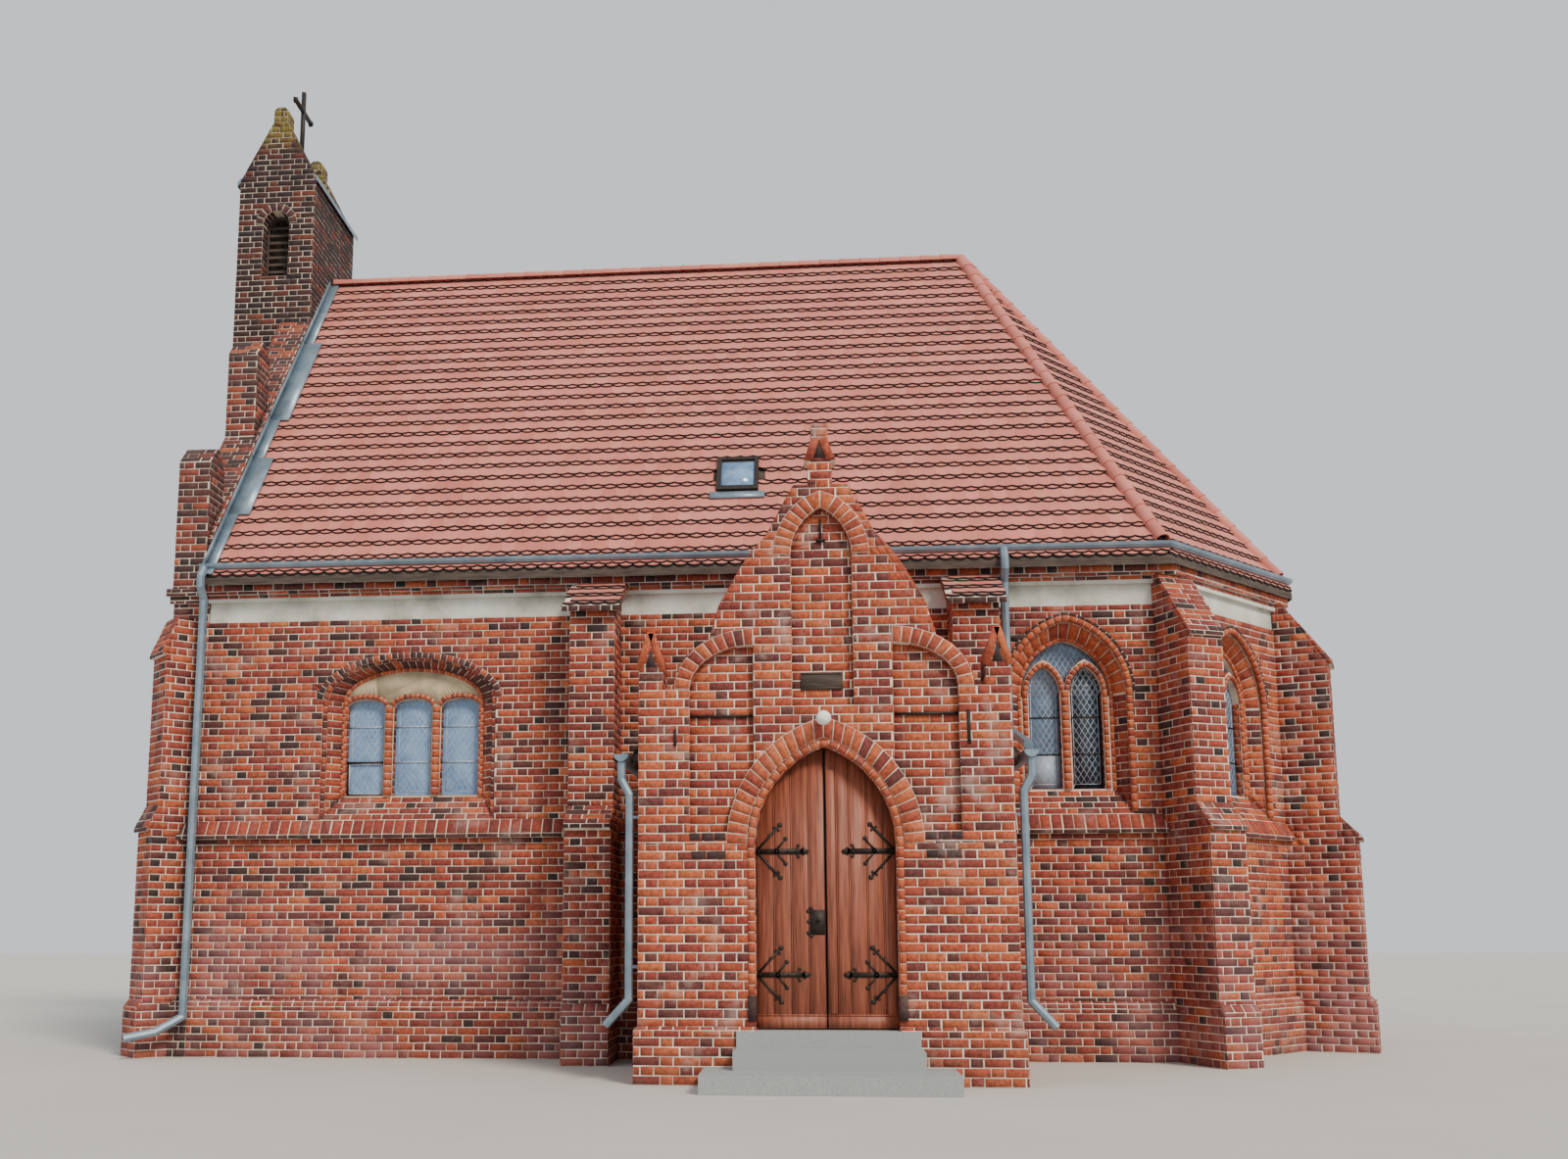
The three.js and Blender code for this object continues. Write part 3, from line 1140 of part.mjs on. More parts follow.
addPiece("roof_skylight", roofSkylight(), IRON);
addPiece("gutter_south", mainGutter(false), ZINC);
addPiece("gutter_north", mainGutter(true), ZINC);
addPiece("porch_gutter_west", porchGutter(-1), ZINC);
addPiece("porch_gutter_east", porchGutter(1), ZINC);
windows.forEach(({ name, w, place, angle }) => addPiece(name, onWall(windowGlass(w), place, angle), GLASS));

const bounds = new THREE.Box3().setFromObject(church);
church.position.set(-(bounds.min.x + bounds.max.x) / 2, -(bounds.min.y + bounds.max.y) / 2, -bounds.min.z);

export default church;
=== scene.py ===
"""Small brick church: laid bricks and tiles, leaded windows, zinc gutters and a boarded double door."""

import math
import random

import bpy
import numpy as np
from mathutils import Matrix, Vector
from mathutils.bvhtree import BVHTree


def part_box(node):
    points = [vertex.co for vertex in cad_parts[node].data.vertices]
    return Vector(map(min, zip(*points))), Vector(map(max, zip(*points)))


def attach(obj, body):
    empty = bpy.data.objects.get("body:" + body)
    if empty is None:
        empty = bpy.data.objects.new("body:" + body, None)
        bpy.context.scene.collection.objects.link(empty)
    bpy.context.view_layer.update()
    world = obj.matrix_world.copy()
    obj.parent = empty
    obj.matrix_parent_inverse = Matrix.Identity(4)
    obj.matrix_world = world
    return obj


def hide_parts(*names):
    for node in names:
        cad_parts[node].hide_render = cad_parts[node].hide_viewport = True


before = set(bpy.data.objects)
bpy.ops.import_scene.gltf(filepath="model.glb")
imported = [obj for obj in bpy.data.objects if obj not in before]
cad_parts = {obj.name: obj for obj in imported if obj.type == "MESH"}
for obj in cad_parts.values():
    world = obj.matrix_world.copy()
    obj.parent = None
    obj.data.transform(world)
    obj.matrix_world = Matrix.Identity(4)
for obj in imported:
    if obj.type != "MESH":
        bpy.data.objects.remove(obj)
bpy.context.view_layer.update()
chance = random.Random(1887)

UP = Vector((0, 0, 1))

# Plan, in metres from the gable's west face and the nave's south face
STRING_OUT = 0.10
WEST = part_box("west_gable_wall")[0].x + STRING_OUT
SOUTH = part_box("south_wall_west")[0].y + STRING_OUT
NAVE_WIDTH = 8.44
NAVE_LENGTH = 13.25
APSE_CUT = 1.99
APSE_END = NAVE_LENGTH + APSE_CUT
WALL = 0.56
GABLE_WALL = 0.50
MIDDLE = NAVE_WIDTH / 2
PORCH_X = 8.73
PORCH_FRONT = -2.95
TOWER_X = -0.145

# Old large-format bricks, hand made and laid with wide joints, proud of the mortar behind them
COURSE = 0.0975
STRETCHER = 0.28
HEADER = 0.14
JOINT = 0.009
RING_JOINT = 0.008
ROLL_JOINT = 0.007
PROUD = 0.006
CHAMFER = 0.004
HAND_MADE = 0.0025
WORN_FACE = 0.94
SLIVER = 0.018
SUNK = -0.004
FACE_OUT = 0.004

# A face counts as upright or level by how far its normal leans
UPRIGHT = 0.05
LEVEL = 0.985
# An upright face lower than this is a lip: one row of the darkest bricks without joints above and below
LIP = 0.08

# Roof, and its tiles laid double in each row
FRIEZE = (5.725, 5.999)
EAVE_Z = 6.29
RIDGE_Z = 12.60
RIDGE_END = 11.20
EAVE_OUT = 0.26
APSE_EAVE_OUT = 0.14
SLOPE = (RIDGE_Z - EAVE_Z) / (MIDDLE + EAVE_OUT)
SLANTED_EAVE = NAVE_LENGTH + APSE_EAVE_OUT * math.sqrt(2)
SOUTH_BEND = (SLANTED_EAVE - EAVE_OUT, -EAVE_OUT)
SOUTHEAST = (APSE_END + APSE_EAVE_OUT, APSE_END + APSE_EAVE_OUT - SLANTED_EAVE)
TILE_WIDE = 0.18
TILE_ROW = 0.285
TILE_THICK = 0.023
TILE_ROUND = 0.068
# Each tile's foot face is painted shadow; the next two numbers lean its top corners up the slope, so that the
# dark band shows wider
FOOT_SHADE_LEAN = 0.017
FOOT_SHADE_REACH = 0.09
TILE_TILT = 0.15
TILE_LIFT = 0.012
LAYER_STEP = 0.048

# Windows: the same arches as in the walls
TRIPLE = dict(kind="basket", step=1.17, splay=1.12, plate=0.96, springing=4.65, rise=0.47,
              lights=(-0.645, 0, 0.645), light=0.26, light_springing=4.58, light_rise=0.423)
POINTED = dict(kind="pointed", step=0.77, splay=0.74, plate=0.60, springing=4.60, rise=1.27,
               lights=(-0.265, 0.265), light=0.20, light_springing=4.65, light_rise=1.65)
LIGHT_FOOT = 3.38
RECESS = 0.21
SPLAY_IN = 0.06
ROLLS_OUT = -0.208
SHAFTS_OUT = -0.206
HEADS_OUT = -0.202
GLASS_OUT = -0.3098
PLATE_FOOT = 3.36
SADDLE_BARS = (3.84, 4.32)


def at(x, y, z):
    return Vector((x + WEST, y + SOUTH, z))


# Flat work: everything is laid on a place, with an origin and the ways across, up and out
class Place:
    def __init__(self, origin, across, up=UP):
        self.origin = Vector(origin)
        self.across = Vector(across).normalized()
        self.up = Vector(up).normalized()
        self.out = self.across.cross(self.up)
        self.axes = np.array([self.across, self.up, self.out])

    def put(self, points):
        """Points (across, up, out) as points of the row frame"""
        return np.asarray(points, float) @ self.axes + np.array(self.origin)

    def flat(self, points):
        """Points of the row frame as (across, up)"""
        return ((np.asarray(points, float) - np.array(self.origin)) @ self.axes.T)[..., :2]


class Stock:
    """Points and faces gathered for one joined piece, with a shade for each face"""

    def __init__(self):
        self.points = []
        self.loops = []
        self.totals = []
        self.shades = []
        self.count = 0

    def add(self, points, faces, shade):
        """faces: arrays of corner numbers, each array with one number of corners a face"""
        self.points.append(np.asarray(points, float).reshape(-1, 3))
        for group in faces:
            group = np.asarray(group, int)
            self.loops.append((group + self.count).ravel())
            self.totals.append(np.full(len(group), group.shape[1]))
            self.shades.append(np.full(len(group), shade, float))
        self.count += len(self.points[-1])

    def prism(self, place, outline, low, high, shade=0.5, inset=None):
        """A flat outline, counter-clockwise, as a closed block between two heights"""
        many = len(outline)
        top = inset or outline
        points = [(a, b, low) for a, b in outline] + [(a, b, high) for a, b in top]
        ring = np.arange(many)
        after = np.roll(ring, -1)
        sides = np.stack([ring, after, after + many, ring + many], 1)
        self.add(place.put(points), [sides, [ring + many], [ring[::-1]]], shade)

    def block(self, place, left, right, foot, top, low, high, shade=0.5, chamfer=0.0, uneven=0.0):
        outline = [(left, foot), (right, foot), (right, top), (left, top)]
        c = chamfer
        inner = [(left + c, foot + c), (right - c, foot + c), (right - c, top - c), (left + c, top - c)]
        if uneven:
            slips = [(chance.uniform(-uneven, uneven), chance.uniform(-uneven, uneven)) for _ in outline]
            outline = [(a + i, b + j) for (a, b), (i, j) in zip(outline, slips)]
            inner = [(a + i, b + j) for (a, b), (i, j) in zip(inner, slips)]
        self.prism(place, outline, low, high, shade, inner)

    def tablet(self, place, corners, lift, shade, taper=WORN_FACE):
        """A brick on four corners (across, up, out), its worn face a little smaller than its bed"""
        bed = np.array(corners, float)
        normal = np.cross(bed[2] - bed[0], bed[3] - bed[1])
        if normal[2] < 0:
            bed, normal = bed[::-1], -normal
        normal = normal / np.linalg.norm(normal)
        middle = bed.mean(0)
        face = middle + (bed - middle) * taper + normal * lift
        sides = [(i, (i + 1) % 4, (i + 1) % 4 + 4, i + 4) for i in range(4)]
        points = place.put(np.concatenate([bed + normal * SUNK, face]))
        self.add(points, [sides, [(4, 5, 6, 7)], [(3, 2, 1, 0)]], shade)

    def bar(self, place, start, end, wide, low, high, shade=0.5):
        """A flat straight bar between two points (across, up)"""
        start, end = np.array(start, float), np.array(end, float)
        way = (end - start) / np.linalg.norm(end - start)
        side = np.array((-way[1], way[0])) * wide / 2
        corners = (start - side, end - side, end + side, start + side)
        self.prism(place, [tuple(p) for p in corners], low, high, shade)

    def disc(self, place, middle, radius, low, high, shade=0.5, many=10):
        turns = [math.tau * i / many for i in range(many)]
        rim = [(middle[0] + radius * math.cos(t), middle[1] + radius * math.sin(t)) for t in turns]
        top = [(middle[0] + (a - middle[0]) * 0.7, middle[1] + (b - middle[1]) * 0.7) for a, b in rim]
        self.prism(place, rim, low, high, shade, top)

    def loft(self, rings, shade):
        """Closed rings of points, one after another, as a skin with both ends capped"""
        around = len(rings[0])
        end = (len(rings) - 1) * around
        quads = []
        for near in range(0, end, around):
            for j in range(around):
                k = (j + 1) % around
                quads.append((near + j, near + k, near + around + k, near + around + j))
        first, last = [list(range(around))[::-1]], [list(range(end, end + around))]
        self.add(np.concatenate([np.asarray(ring, float) for ring in rings]), [quads, first, last], shade)

    def piece(self, name, material, body="church", slot=None, replaced=(), smooth=False):
        mesh = bpy.data.meshes.new(name)
        points = np.concatenate(self.points)
        loops = np.concatenate(self.loops)
        totals = np.concatenate(self.totals)
        mesh.vertices.add(len(points))
        mesh.vertices.foreach_set("co", points.astype(np.float32).ravel())
        mesh.loops.add(len(loops))
        mesh.loops.foreach_set("vertex_index", loops.astype(np.int32))
        mesh.polygons.add(len(totals))
        mesh.polygons.foreach_set("loop_start", (np.cumsum(totals) - totals).astype(np.int32))
        shade = mesh.attributes.new("shade", "FLOAT", "FACE")
        shade.data.foreach_set("value", np.concatenate(self.shades).astype(np.float32))
        mesh.update(calc_edges=True)
        mesh.validate()
        if smooth:
            mesh.shade_smooth()
            mesh.set_sharp_from_angle(angle=math.radians(40))
        mesh.materials.append(material)
        made = bpy.data.objects.new(name, mesh)
        bpy.context.scene.collection.objects.link(made)
        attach(made, body)
        if replaced:
            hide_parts(*replaced)


def clipped(outline, edges):
    """What is left of a convex outline where x * a + y * b <= limit for each edge (x, y, limit)"""
    for x, y, limit in edges:
        kept = []
        for i, (a, b) in enumerate(outline):
            before_a, before_b = outline[i - 1]
            side = x * a + y * b - limit
            before = x * before_a + y * before_b - limit
            if (side <= 0) != (before <= 0):
                share = before / (before - side)
                kept.append((before_a + (a - before_a) * share, before_b + (b - before_b) * share))
            if side <= 0:
                kept.append((a, b))
        outline = kept
        if len(outline) < 3:
            return []
    return outline


def area(outline):
    return sum(a * outline[i - 1][1] - outline[i - 1][0] * b for i, (a, b) in enumerate(outline)) / -2


def edges_of(outline):
    """The sides of a counter-clockwise convex outline, as clipping edges"""
    found = []
    for i, (a, b) in enumerate(outline):
        before_a, before_b = outline[i - 1]
        x, y = b - before_b, before_a - a
        found.append((x, y, x * a + y * b))
    return found


# Materials
def linear(hex_colour):
    """A hex colour as the linear values that a shader takes"""
    parts = [int(hex_colour[i:i + 2], 16) / 255 for i in (1, 3, 5)]
    return [c / 12.92 if c <= 0.04045 else ((c + 0.055) / 1.055) ** 2.4 for c in parts] + [1.0]


def add_node(tree, kind, inputs=None, stops=None, **settings):
    """One node with its settings, its links or values, and a ramp's stops where it has them"""
    made = tree.nodes.new("ShaderNode" + kind)
    for name, value in settings.items():
        setattr(made, name, value)
    for key, value in (inputs or {}).items():
        if isinstance(value, bpy.types.NodeSocket):
            tree.links.new(value, made.inputs[key])
        else:
            made.inputs[key].default_value = value
    if stops:
        ramp = made.color_ramp
        while len(ramp.elements) < len(stops):
            ramp.elements.new(0.5)
        for element, (place, colour) in zip(ramp.elements, stops):
            element.position = place
            element.color = colour
    return made


def surface(name, roughness, metallic=0.0):
    """A new material, with its tree, its shader and the object's own coordinates in metres"""
    material = bpy.data.materials.new(name)
    material.use_nodes = True
    tree = material.node_tree
    shader = tree.nodes["Principled BSDF"]
    shader.inputs["Roughness"].default_value = roughness
    shader.inputs["Metallic"].default_value = metallic
    place = add_node(tree, "TexCoord").outputs["Object"]
    return material, tree, shader, place


def greys(*stops):
    return [(place, (value, value, value, 1)) for place, value in stops]


def grain(size_mm, detail=4.0):
    """Values of a noise whose grain is about size_mm across"""
    return {"Scale": 1000 / size_mm, "Detail": detail, "Roughness": 0.6}


def coat(tree, shader, colour, height, strength, relief_mm):
    """Gives the shader its colour and a fine relief"""
    relief = {"Height": height, "Strength": strength, "Distance": relief_mm / 1000}
    tree.links.new(colour, shader.inputs["Base Color"])
    tree.links.new(add_node(tree, "Bump", relief).outputs["Normal"], shader.inputs["Normal"])


def fired_brick(name, burnt_share, orange_share, lime=0.5, salt=0.0, soot=0.0,
                soil="#3e302c", darkest="#3f2f2f", moss_from=None):
    """Hand-made brick from a field kiln: orange to plum and nearly black where it sat by the fire, with a
    dull sanded face, so that every brick shows its own colour and lime streaks run over them."""
    material, tree, shader, place = surface(name, 0.88)
    shade = add_node(tree, "Attribute", attribute_name="shade").outputs["Fac"]
    red_share = 1 - burnt_share - orange_share
    ramp = add_node(tree, "ValToRGB", {"Fac": shade}, stops=[
        (0.0, linear("#cf7046")), (orange_share * 0.7, linear("#bd5c3b")),
        (orange_share + red_share * 0.35, linear("#a34a39")),
        (orange_share + red_share * 0.8, linear("#8c3f37")),
        (1 - burnt_share, linear("#6b3836")), (1.0, linear(darkest))])
    mottle = add_node(tree, "TexNoise", {"Vector": place, **grain(38)})
    spots = add_node(tree, "ValToRGB", {"Fac": mottle.outputs["Fac"]},
                     stops=[(0.32, linear("#8a7c78")), (0.62, linear("#f4ece8"))])
    fired = add_node(tree, "Mix", {0: 0.75, 6: ramp.outputs["Color"], 7: spots.outputs["Color"]},
                     data_type="RGBA", blend_type="MULTIPLY")
    cloud = add_node(tree, "TexNoise", {"Vector": place, **grain(420, 6.0)})
    bloom = add_node(tree, "ValToRGB", {"Fac": cloud.outputs["Fac"]}, stops=greys((0.56, 0), (0.80, lime)))
    limed = add_node(tree, "Mix", {0: bloom.outputs["Color"], 6: fired.outputs[2], 7: linear("#b79c92")},
                     data_type="RGBA")
    height = add_node(tree, "SeparateXYZ", {"Vector": place}).outputs["Z"]
    damp = add_node(tree, "MapRange", {"Value": height, "From Max": 1.1, "To Min": 0.25, "To Max": soot})
    colour = add_node(tree, "Mix", {0: damp.outputs[0], 6: limed.outputs[2], 7: linear(soil)},
                      data_type="RGBA").outputs[2]
    # Salts low down and moss high up: tint, heights from none to all, patch size, detail and ramp
    layers = []
    if salt:
        layers.append(("#a06a6c", 2.3, 1.2, 900, 3.0, greys((0.42, 0), (0.62, salt))))
    if moss_from:
        layers.append(("#6c5f22", moss_from, moss_from + 0.35, 120, 6.0, greys((0.36, 0), (0.5, 1))))
    for tint, none, all_over, size_mm, detail, stops in layers:
        band = add_node(tree, "MapRange", {"Value": height, "From Min": none, "From Max": all_over})
        patch = add_node(tree, "TexNoise", {"Vector": place, **grain(size_mm, detail)})
        held = add_node(tree, "ValToRGB", {"Fac": patch.outputs["Fac"]}, stops=stops)
        share = add_node(tree, "Math", {0: band.outputs[0], 1: held.outputs["Color"]}, operation="MULTIPLY")
        colour = add_node(tree, "Mix", {0: share.outputs[0], 6: colour, 7: linear(tint)},
                          data_type="RGBA").outputs[2]
    sand = add_node(tree, "TexNoise", {"Vector": place, **grain(14)})
    coat(tree, shader, colour, sand.outputs["Fac"], 0.5, 4)
    return material


def lime_mortar(name, dark, middle, light, frieze=False):
    """Lime mortar struck by hand: pale, coarse and stained grey where water runs; the frieze is the same
    lime as a smooth band of render."""
    material, tree, shader, place = surface(name, 0.95)
    stain = add_node(tree, "TexNoise", {"Vector": place, **grain(300, 8.0)})
    colour = add_node(tree, "ValToRGB", {"Fac": stain.outputs["Fac"]}, stops=[
        (0.30, linear(dark)), (0.46, linear(middle)), (0.66, linear(light))]).outputs["Color"]
    if frieze:
        height = add_node(tree, "SeparateXYZ", {"Vector": place}).outputs["Z"]
        over = add_node(tree, "Math", {0: height, 1: FRIEZE[0]}, operation="GREATER_THAN")
        streak = add_node(tree, "TexNoise", {"Vector": place, **grain(700, 8.0)})
        render = add_node(tree, "ValToRGB", {"Fac": streak.outputs["Fac"]}, stops=[
            (0.33, linear("#9d9e93")), (0.50, linear("#c6c7bc")), (0.66, linear("#d9dad2"))])
        colour = add_node(tree, "Mix", {0: over.outputs[0], 6: colour, 7: render.outputs["Color"]},
                          data_type="RGBA").outputs[2]
    grit = add_node(tree, "TexNoise", {"Vector": place, **grain(9)})
    coat(tree, shader, colour, grit.outputs["Fac"], 0.5, 4)
    return material


def plain_finish(name, roughness, dark, light, size_mm, metallic=0.0, bump_mm=1.0, stretch=(1, 1, 1)):
    """A finish of two tones of one material, mottled at its real grain, with a fine relief"""
    material, tree, shader, place = surface(name, roughness, metallic)
    drawn = add_node(tree, "Mapping", {"Vector": place, "Scale": stretch}).outputs["Vector"]
    mottle = add_node(tree, "TexNoise", {"Vector": drawn, **grain(size_mm, 6.0)}).outputs["Fac"]
    colour = add_node(tree, "ValToRGB", {"Fac": mottle}, stops=[(0.3, linear(dark)), (0.7, linear(light))])
    coat(tree, shader, colour.outputs["Color"], mottle, 0.4, bump_mm)
    return material


def clay_tile():
    """Pressed plain tile in salmon red, new beside the walls: matt, even, and each tile a little off its
    neighbour."""
    material, tree, shader, place = surface("salmon_clay_tile", 0.75)
    shade = add_node(tree, "Attribute", attribute_name="shade").outputs["Fac"]
    # The last stop, near black, is painted shadow for the tile's side faces, which show at its foot
    colour = add_node(tree, "ValToRGB", {"Fac": shade}, stops=[
        (0.0, linear("#d58778")), (0.5, linear("#ce7c6f")), (0.93, linear("#c57467")),
        (0.97, linear("#170907"))])
    weather = add_node(tree, "TexNoise", {"Vector": place, **grain(600, 6.0)})
    dust = add_node(tree, "ValToRGB", {"Fac": weather.outputs["Fac"]},
                    stops=[(0.3, linear("#e2dad6")), (0.7, linear("#ffffff"))])
    worn = add_node(tree, "Mix", {0: 0.8, 6: colour.outputs["Color"], 7: dust.outputs["Color"]},
                    data_type="RGBA", blend_type="MULTIPLY")
    clay = add_node(tree, "TexNoise", {"Vector": place, **grain(25)})
    coat(tree, shader, worn.outputs[2], clay.outputs["Fac"], 0.3, 2)
    return material


# The nave's brick: orange, red and plum side by side, with a rosy bloom of salts low down
brick = fired_brick("red_field_brick", 0.12, 0.26, salt=0.5)
# The apse's brick: more orange, hardly burnt, and paled by lime that has run down it, and partly by painted
# sunlight
apse_brick = fired_brick("orange_field_brick", 0.05, 0.60, 0.8, salt=0.4, darkest="#623a35")
# The gable's brick: mostly burnt and dulled by old soot, so it reads dark beside the nave
gable_brick = fired_brick("sooted_field_brick", 0.60, 0.08, 0.2, soot=0.30)
# The tower's brick: the same, near black with soot, and olive with moss on its caps
tower_brick = fired_brick("mossy_field_brick", 0.66, 0.07, 0.15, soot=0.70, soil="#1c1413", moss_from=14.55)
# The porch's brick: bright and even, with a thin wash of lime
porch_brick = fired_brick("bright_field_brick", 0.04, 0.56, 0.85, darkest="#70403a")
# Moulded brick of the arches: finer clay, an even warm orange
arch_brick = fired_brick("orange_moulded_brick", 0.03, 0.85, 0.25)
# Headers that lay next to the fire: plum to black, a dark rim round each arch; its darkest tone is also
# painted shade for the porch front's small openings
burnt_brick_and_shade = fired_brick("burnt_header_brick_and_painted_shade", 0.65, 0.06, 0.3)
# Lime mortar of the porch and the buttresses: cream, gritty, light between the bricks
mortar = lime_mortar("lime_mortar", "#ad9c8b", "#ddd0bd", "#f3e9da")
# Mortar of the nave and the apse, a little browner, and their smooth grey-white frieze
wall_mortar = lime_mortar("lime_mortar_and_frieze", "#988777", "#cfc0ac", "#eadecc", frieze=True)
# Mortar of the gable and the tower: cream where rain washes it, grey where soot stays
old_mortar = lime_mortar("sooted_lime_mortar", "#6b5f55", "#bdae9d", "#e3d6c5")
# Tiles, pressed and matt: salmon red, with painted shadow on the face at each foot
tile = clay_tile()
# Plaster of the arched field over the three lights, yellowed with age
plaster = plain_finish("yellowed_plaster", 0.9, "#a5967a", "#c9ba98", 180)
# Rolled zinc sheet, weathered: blue-grey, half dull, with cloudy patina
zinc = plain_finish("weathered_zinc", 0.40, "#647988", "#8c9eac", 260, metallic=0.35, bump_mm=0.4)
# Crown glass: smooth, a little uneven, and blue-grey with a painted reflection of a dull sky
glass = plain_finish("old_crown_glass", 0.14, "#5f80a8", "#86a6cc", 160, bump_mm=1.2)
# The same glass in the apse's shade: deeper blue
dim_glass = plain_finish("shaded_crown_glass", 0.14, "#3d5168", "#5e7690", 140, bump_mm=1.2)
# The same glass in front of the dark room: nearly black, so that its leads stand out
dark_glass = plain_finish("dark_crown_glass", 0.16, "#1d2833", "#3b4c5e", 120, bump_mm=1.2)
# Ground glass of the replaced panes: flat, pale and without a reflection
pale_glass = plain_finish("obscured_pane_glass", 0.5, "#8797a8", "#a3b2c1", 90, bump_mm=0.6)
# Lead cames, with the pale bloom that lead gets outdoors
lead = plain_finish("bloomed_lead", 0.55, "#a9b4c1", "#ccd5de", 60, metallic=0.2)
# Red-brown stained boards, grain drawn out along the height
stained_wood = plain_finish("red_brown_stained_boards", 0.55, "#643122", "#a85f45", 26, stretch=(1, 1, 0.05))
# The same stain on the leaf behind the boards, near black: painted shade where it shows in the seams
seam_wood = plain_finish("stained_leaf_in_painted_shade", 0.8, "#2a1410", "#3f2018", 26, stretch=(1, 1, 0.05))
# Dark weathered boards of the tower's louvres, and painted shade on the roof solids' edges under the eave
# tiles
grey_wood = plain_finish("dark_weathered_boards_and_eave_shade", 0.85, "#2e2622", "#594c43", 30, stretch=(0.1, 0.1, 1))
# Wrought iron under old black paint: dull, nearly black, a little brown
iron = plain_finish("painted_wrought_iron", 0.6, "#1b1513", "#382d28", 40, metallic=0.4)
# Hammered granite: grey with dark and pale grains
granite = plain_finish("hammered_granite", 0.85, "#75797b", "#b2b7b7", 7, bump_mm=1.5)
# Stone floor inside: worn smooth, brown-grey and dusty
floor_stone = plain_finish("worn_stone_floor", 0.85, "#6e645a", "#93887a", 240)
# Opal glass of the lamp: white and glossy
opal = plain_finish("white_opal_glass", 0.18, "#dfe3dd", "#f4f5f0", 90, bump_mm=0.2)
# Painted shade for the small openings: a flat near-black for the hollow behind them, from which no light
# comes back
hollow = plain_finish("painted_hollow_shade", 1.0, "#0c0a0a", "#151110", 100)


# Bricks, laid on every flat outer face of the masonry
NAVE_NODES = ["south_wall_west", "south_wall_over_door", "south_wall_east", "north_wall"]
APSE_NODES = ["southeast_wall", "east_wall", "northeast_wall"]
BAY_BUTTRESSES = ["buttress_south_west_bay", "buttress_south_east_bay", "buttress_north_west_bay",
                  "buttress_north_east_bay"]
APSE_BUTTRESSES = ["buttress_south_bend", "buttress_southeast", "buttress_northeast", "buttress_north_bend"]
WEST_BUTTRESSES = ["buttress_southwest", "buttress_northwest"]
PORCH_NODES = ["porch_front_west", "porch_front_east", "porch_gable", "porch_west_wall", "porch_east_wall"]
MASONRY = NAVE_NODES + APSE_NODES + BAY_BUTTRESSES + APSE_BUTTRESSES + WEST_BUTTRESSES + PORCH_NODES
MASONRY += ["west_gable_wall", "bell_tower"]
COVERS = MASONRY + ["floor", "entrance_steps", "nave_roof_south", "nave_roof_north", "apse_roof",
                    "porch_roof", "turret_roof"]
CAP_FOOT = 5.5
PANE_LIFT = 0.0602
EDGE = 0.02


def solid_tree(names):
    corners, sides = [], []
    for name in names:
        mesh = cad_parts[name].data
        mesh.calc_loop_triangles()
        first = len(corners)
        corners += [v.co.copy() for v in mesh.vertices]
        sides += [[first + i for i in t.vertices] for t in mesh.loop_triangles]
    return BVHTree.FromPolygons(corners, sides)


masonry_tree = solid_tree(COVERS)


def indoors(point):
    """True in the nave, the loft, the porch and the bell chamber, where no brick shows"""
    x, y, z = point.x - WEST, point.y - SOUTH, point.z
    fold = min(y, NAVE_WIDTH - y)
    under_roof = z < EAVE_Z + SLOPE * (fold + EAVE_OUT) - EDGE
    behind_gable = x > GABLE_WALL - EDGE
    side = WALL - EDGE
    nave = fold > side and x < APSE_END - side and x - fold < NAVE_LENGTH - side * 1.41
    loft = z > 6.2 and fold > -0.03 and x - fold < NAVE_LENGTH
    porch = abs(x - PORCH_X) < 1.60 and -2.75 < y < 0.1 and z < 5.78 - 1.12 * abs(x - PORCH_X)
    bells = abs(x - TOWER_X) < 0.38 and abs(y - MIDDLE) < 0.72 and 12.28 < z < 14.1
    return under_roof and behind_gable and (nave or loft) or porch or bells


def flat_faces(name):
    """A node's flat faces: a place for each plane, and its triangles as (across, up) there"""
    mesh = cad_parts[name].data
    mesh.calc_loop_triangles()
    points = np.array([v.co for v in mesh.vertices], float)
    triangles = points[np.array([t.vertices for t in mesh.loop_triangles])]
    across = np.cross(triangles[:, 1] - triangles[:, 0], triangles[:, 2] - triangles[:, 0])
    size = np.linalg.norm(across, axis=1)
    real = size > 1e-8
    triangles, normals = triangles[real], across[real] / size[real, None]
    # Planes within 2 mm are one; the small offset keeps a plane off the edge between two steps
    depth = (normals * triangles[:, 0]).sum(1) + 0.00037
    keys = [(*np.round(n, 2) + 0.0, round(d / 0.002)) for n, d in zip(normals, depth)]
    groups = {}
    for key, triangle, normal in zip(keys, triangles, normals):
        groups.setdefault(key, (normal, []))[1].append(triangle)
    for normal, found in groups.values():
        x, y, z = found[0][0]
        if abs(normal[2]) < LEVEL:
            along = UP.cross(Vector(normal))
            place = Place((x, y, 0 if abs(normal[2]) < UPRIGHT else z), along, Vector(normal).cross(along))
        elif normal[2] > 0 and z > 0.1:
            place = Place((x, y, z), (1, 0, 0), (0, 1, 0))
        else:
            continue
        yield place, [place.flat(t) for t in found]


def window_place(x, y, angle):
    turn = math.radians(angle)
    return Place(at(x, y, 0), (math.cos(turn), math.sin(turn), 0))


SLANTED_X = NAVE_LENGTH + APSE_CUT / 2
WINDOWS = [
    (TRIPLE, window_place(3.30, 0, 0)), (POINTED, window_place(11.87, 0, 0)),
    (POINTED, window_place(SLANTED_X, APSE_CUT / 2, 45)), (POINTED, window_place(APSE_END, MIDDLE, 90)),
    (POINTED, window_place(SLANTED_X, NAVE_WIDTH - APSE_CUT / 2, 135)),
    (POINTED, window_place(11.87, NAVE_WIDTH, 180)), (POINTED, window_place(8.26, NAVE_WIDTH, 180)),
    (TRIPLE, window_place(3.30, NAVE_WIDTH, 180)),
]


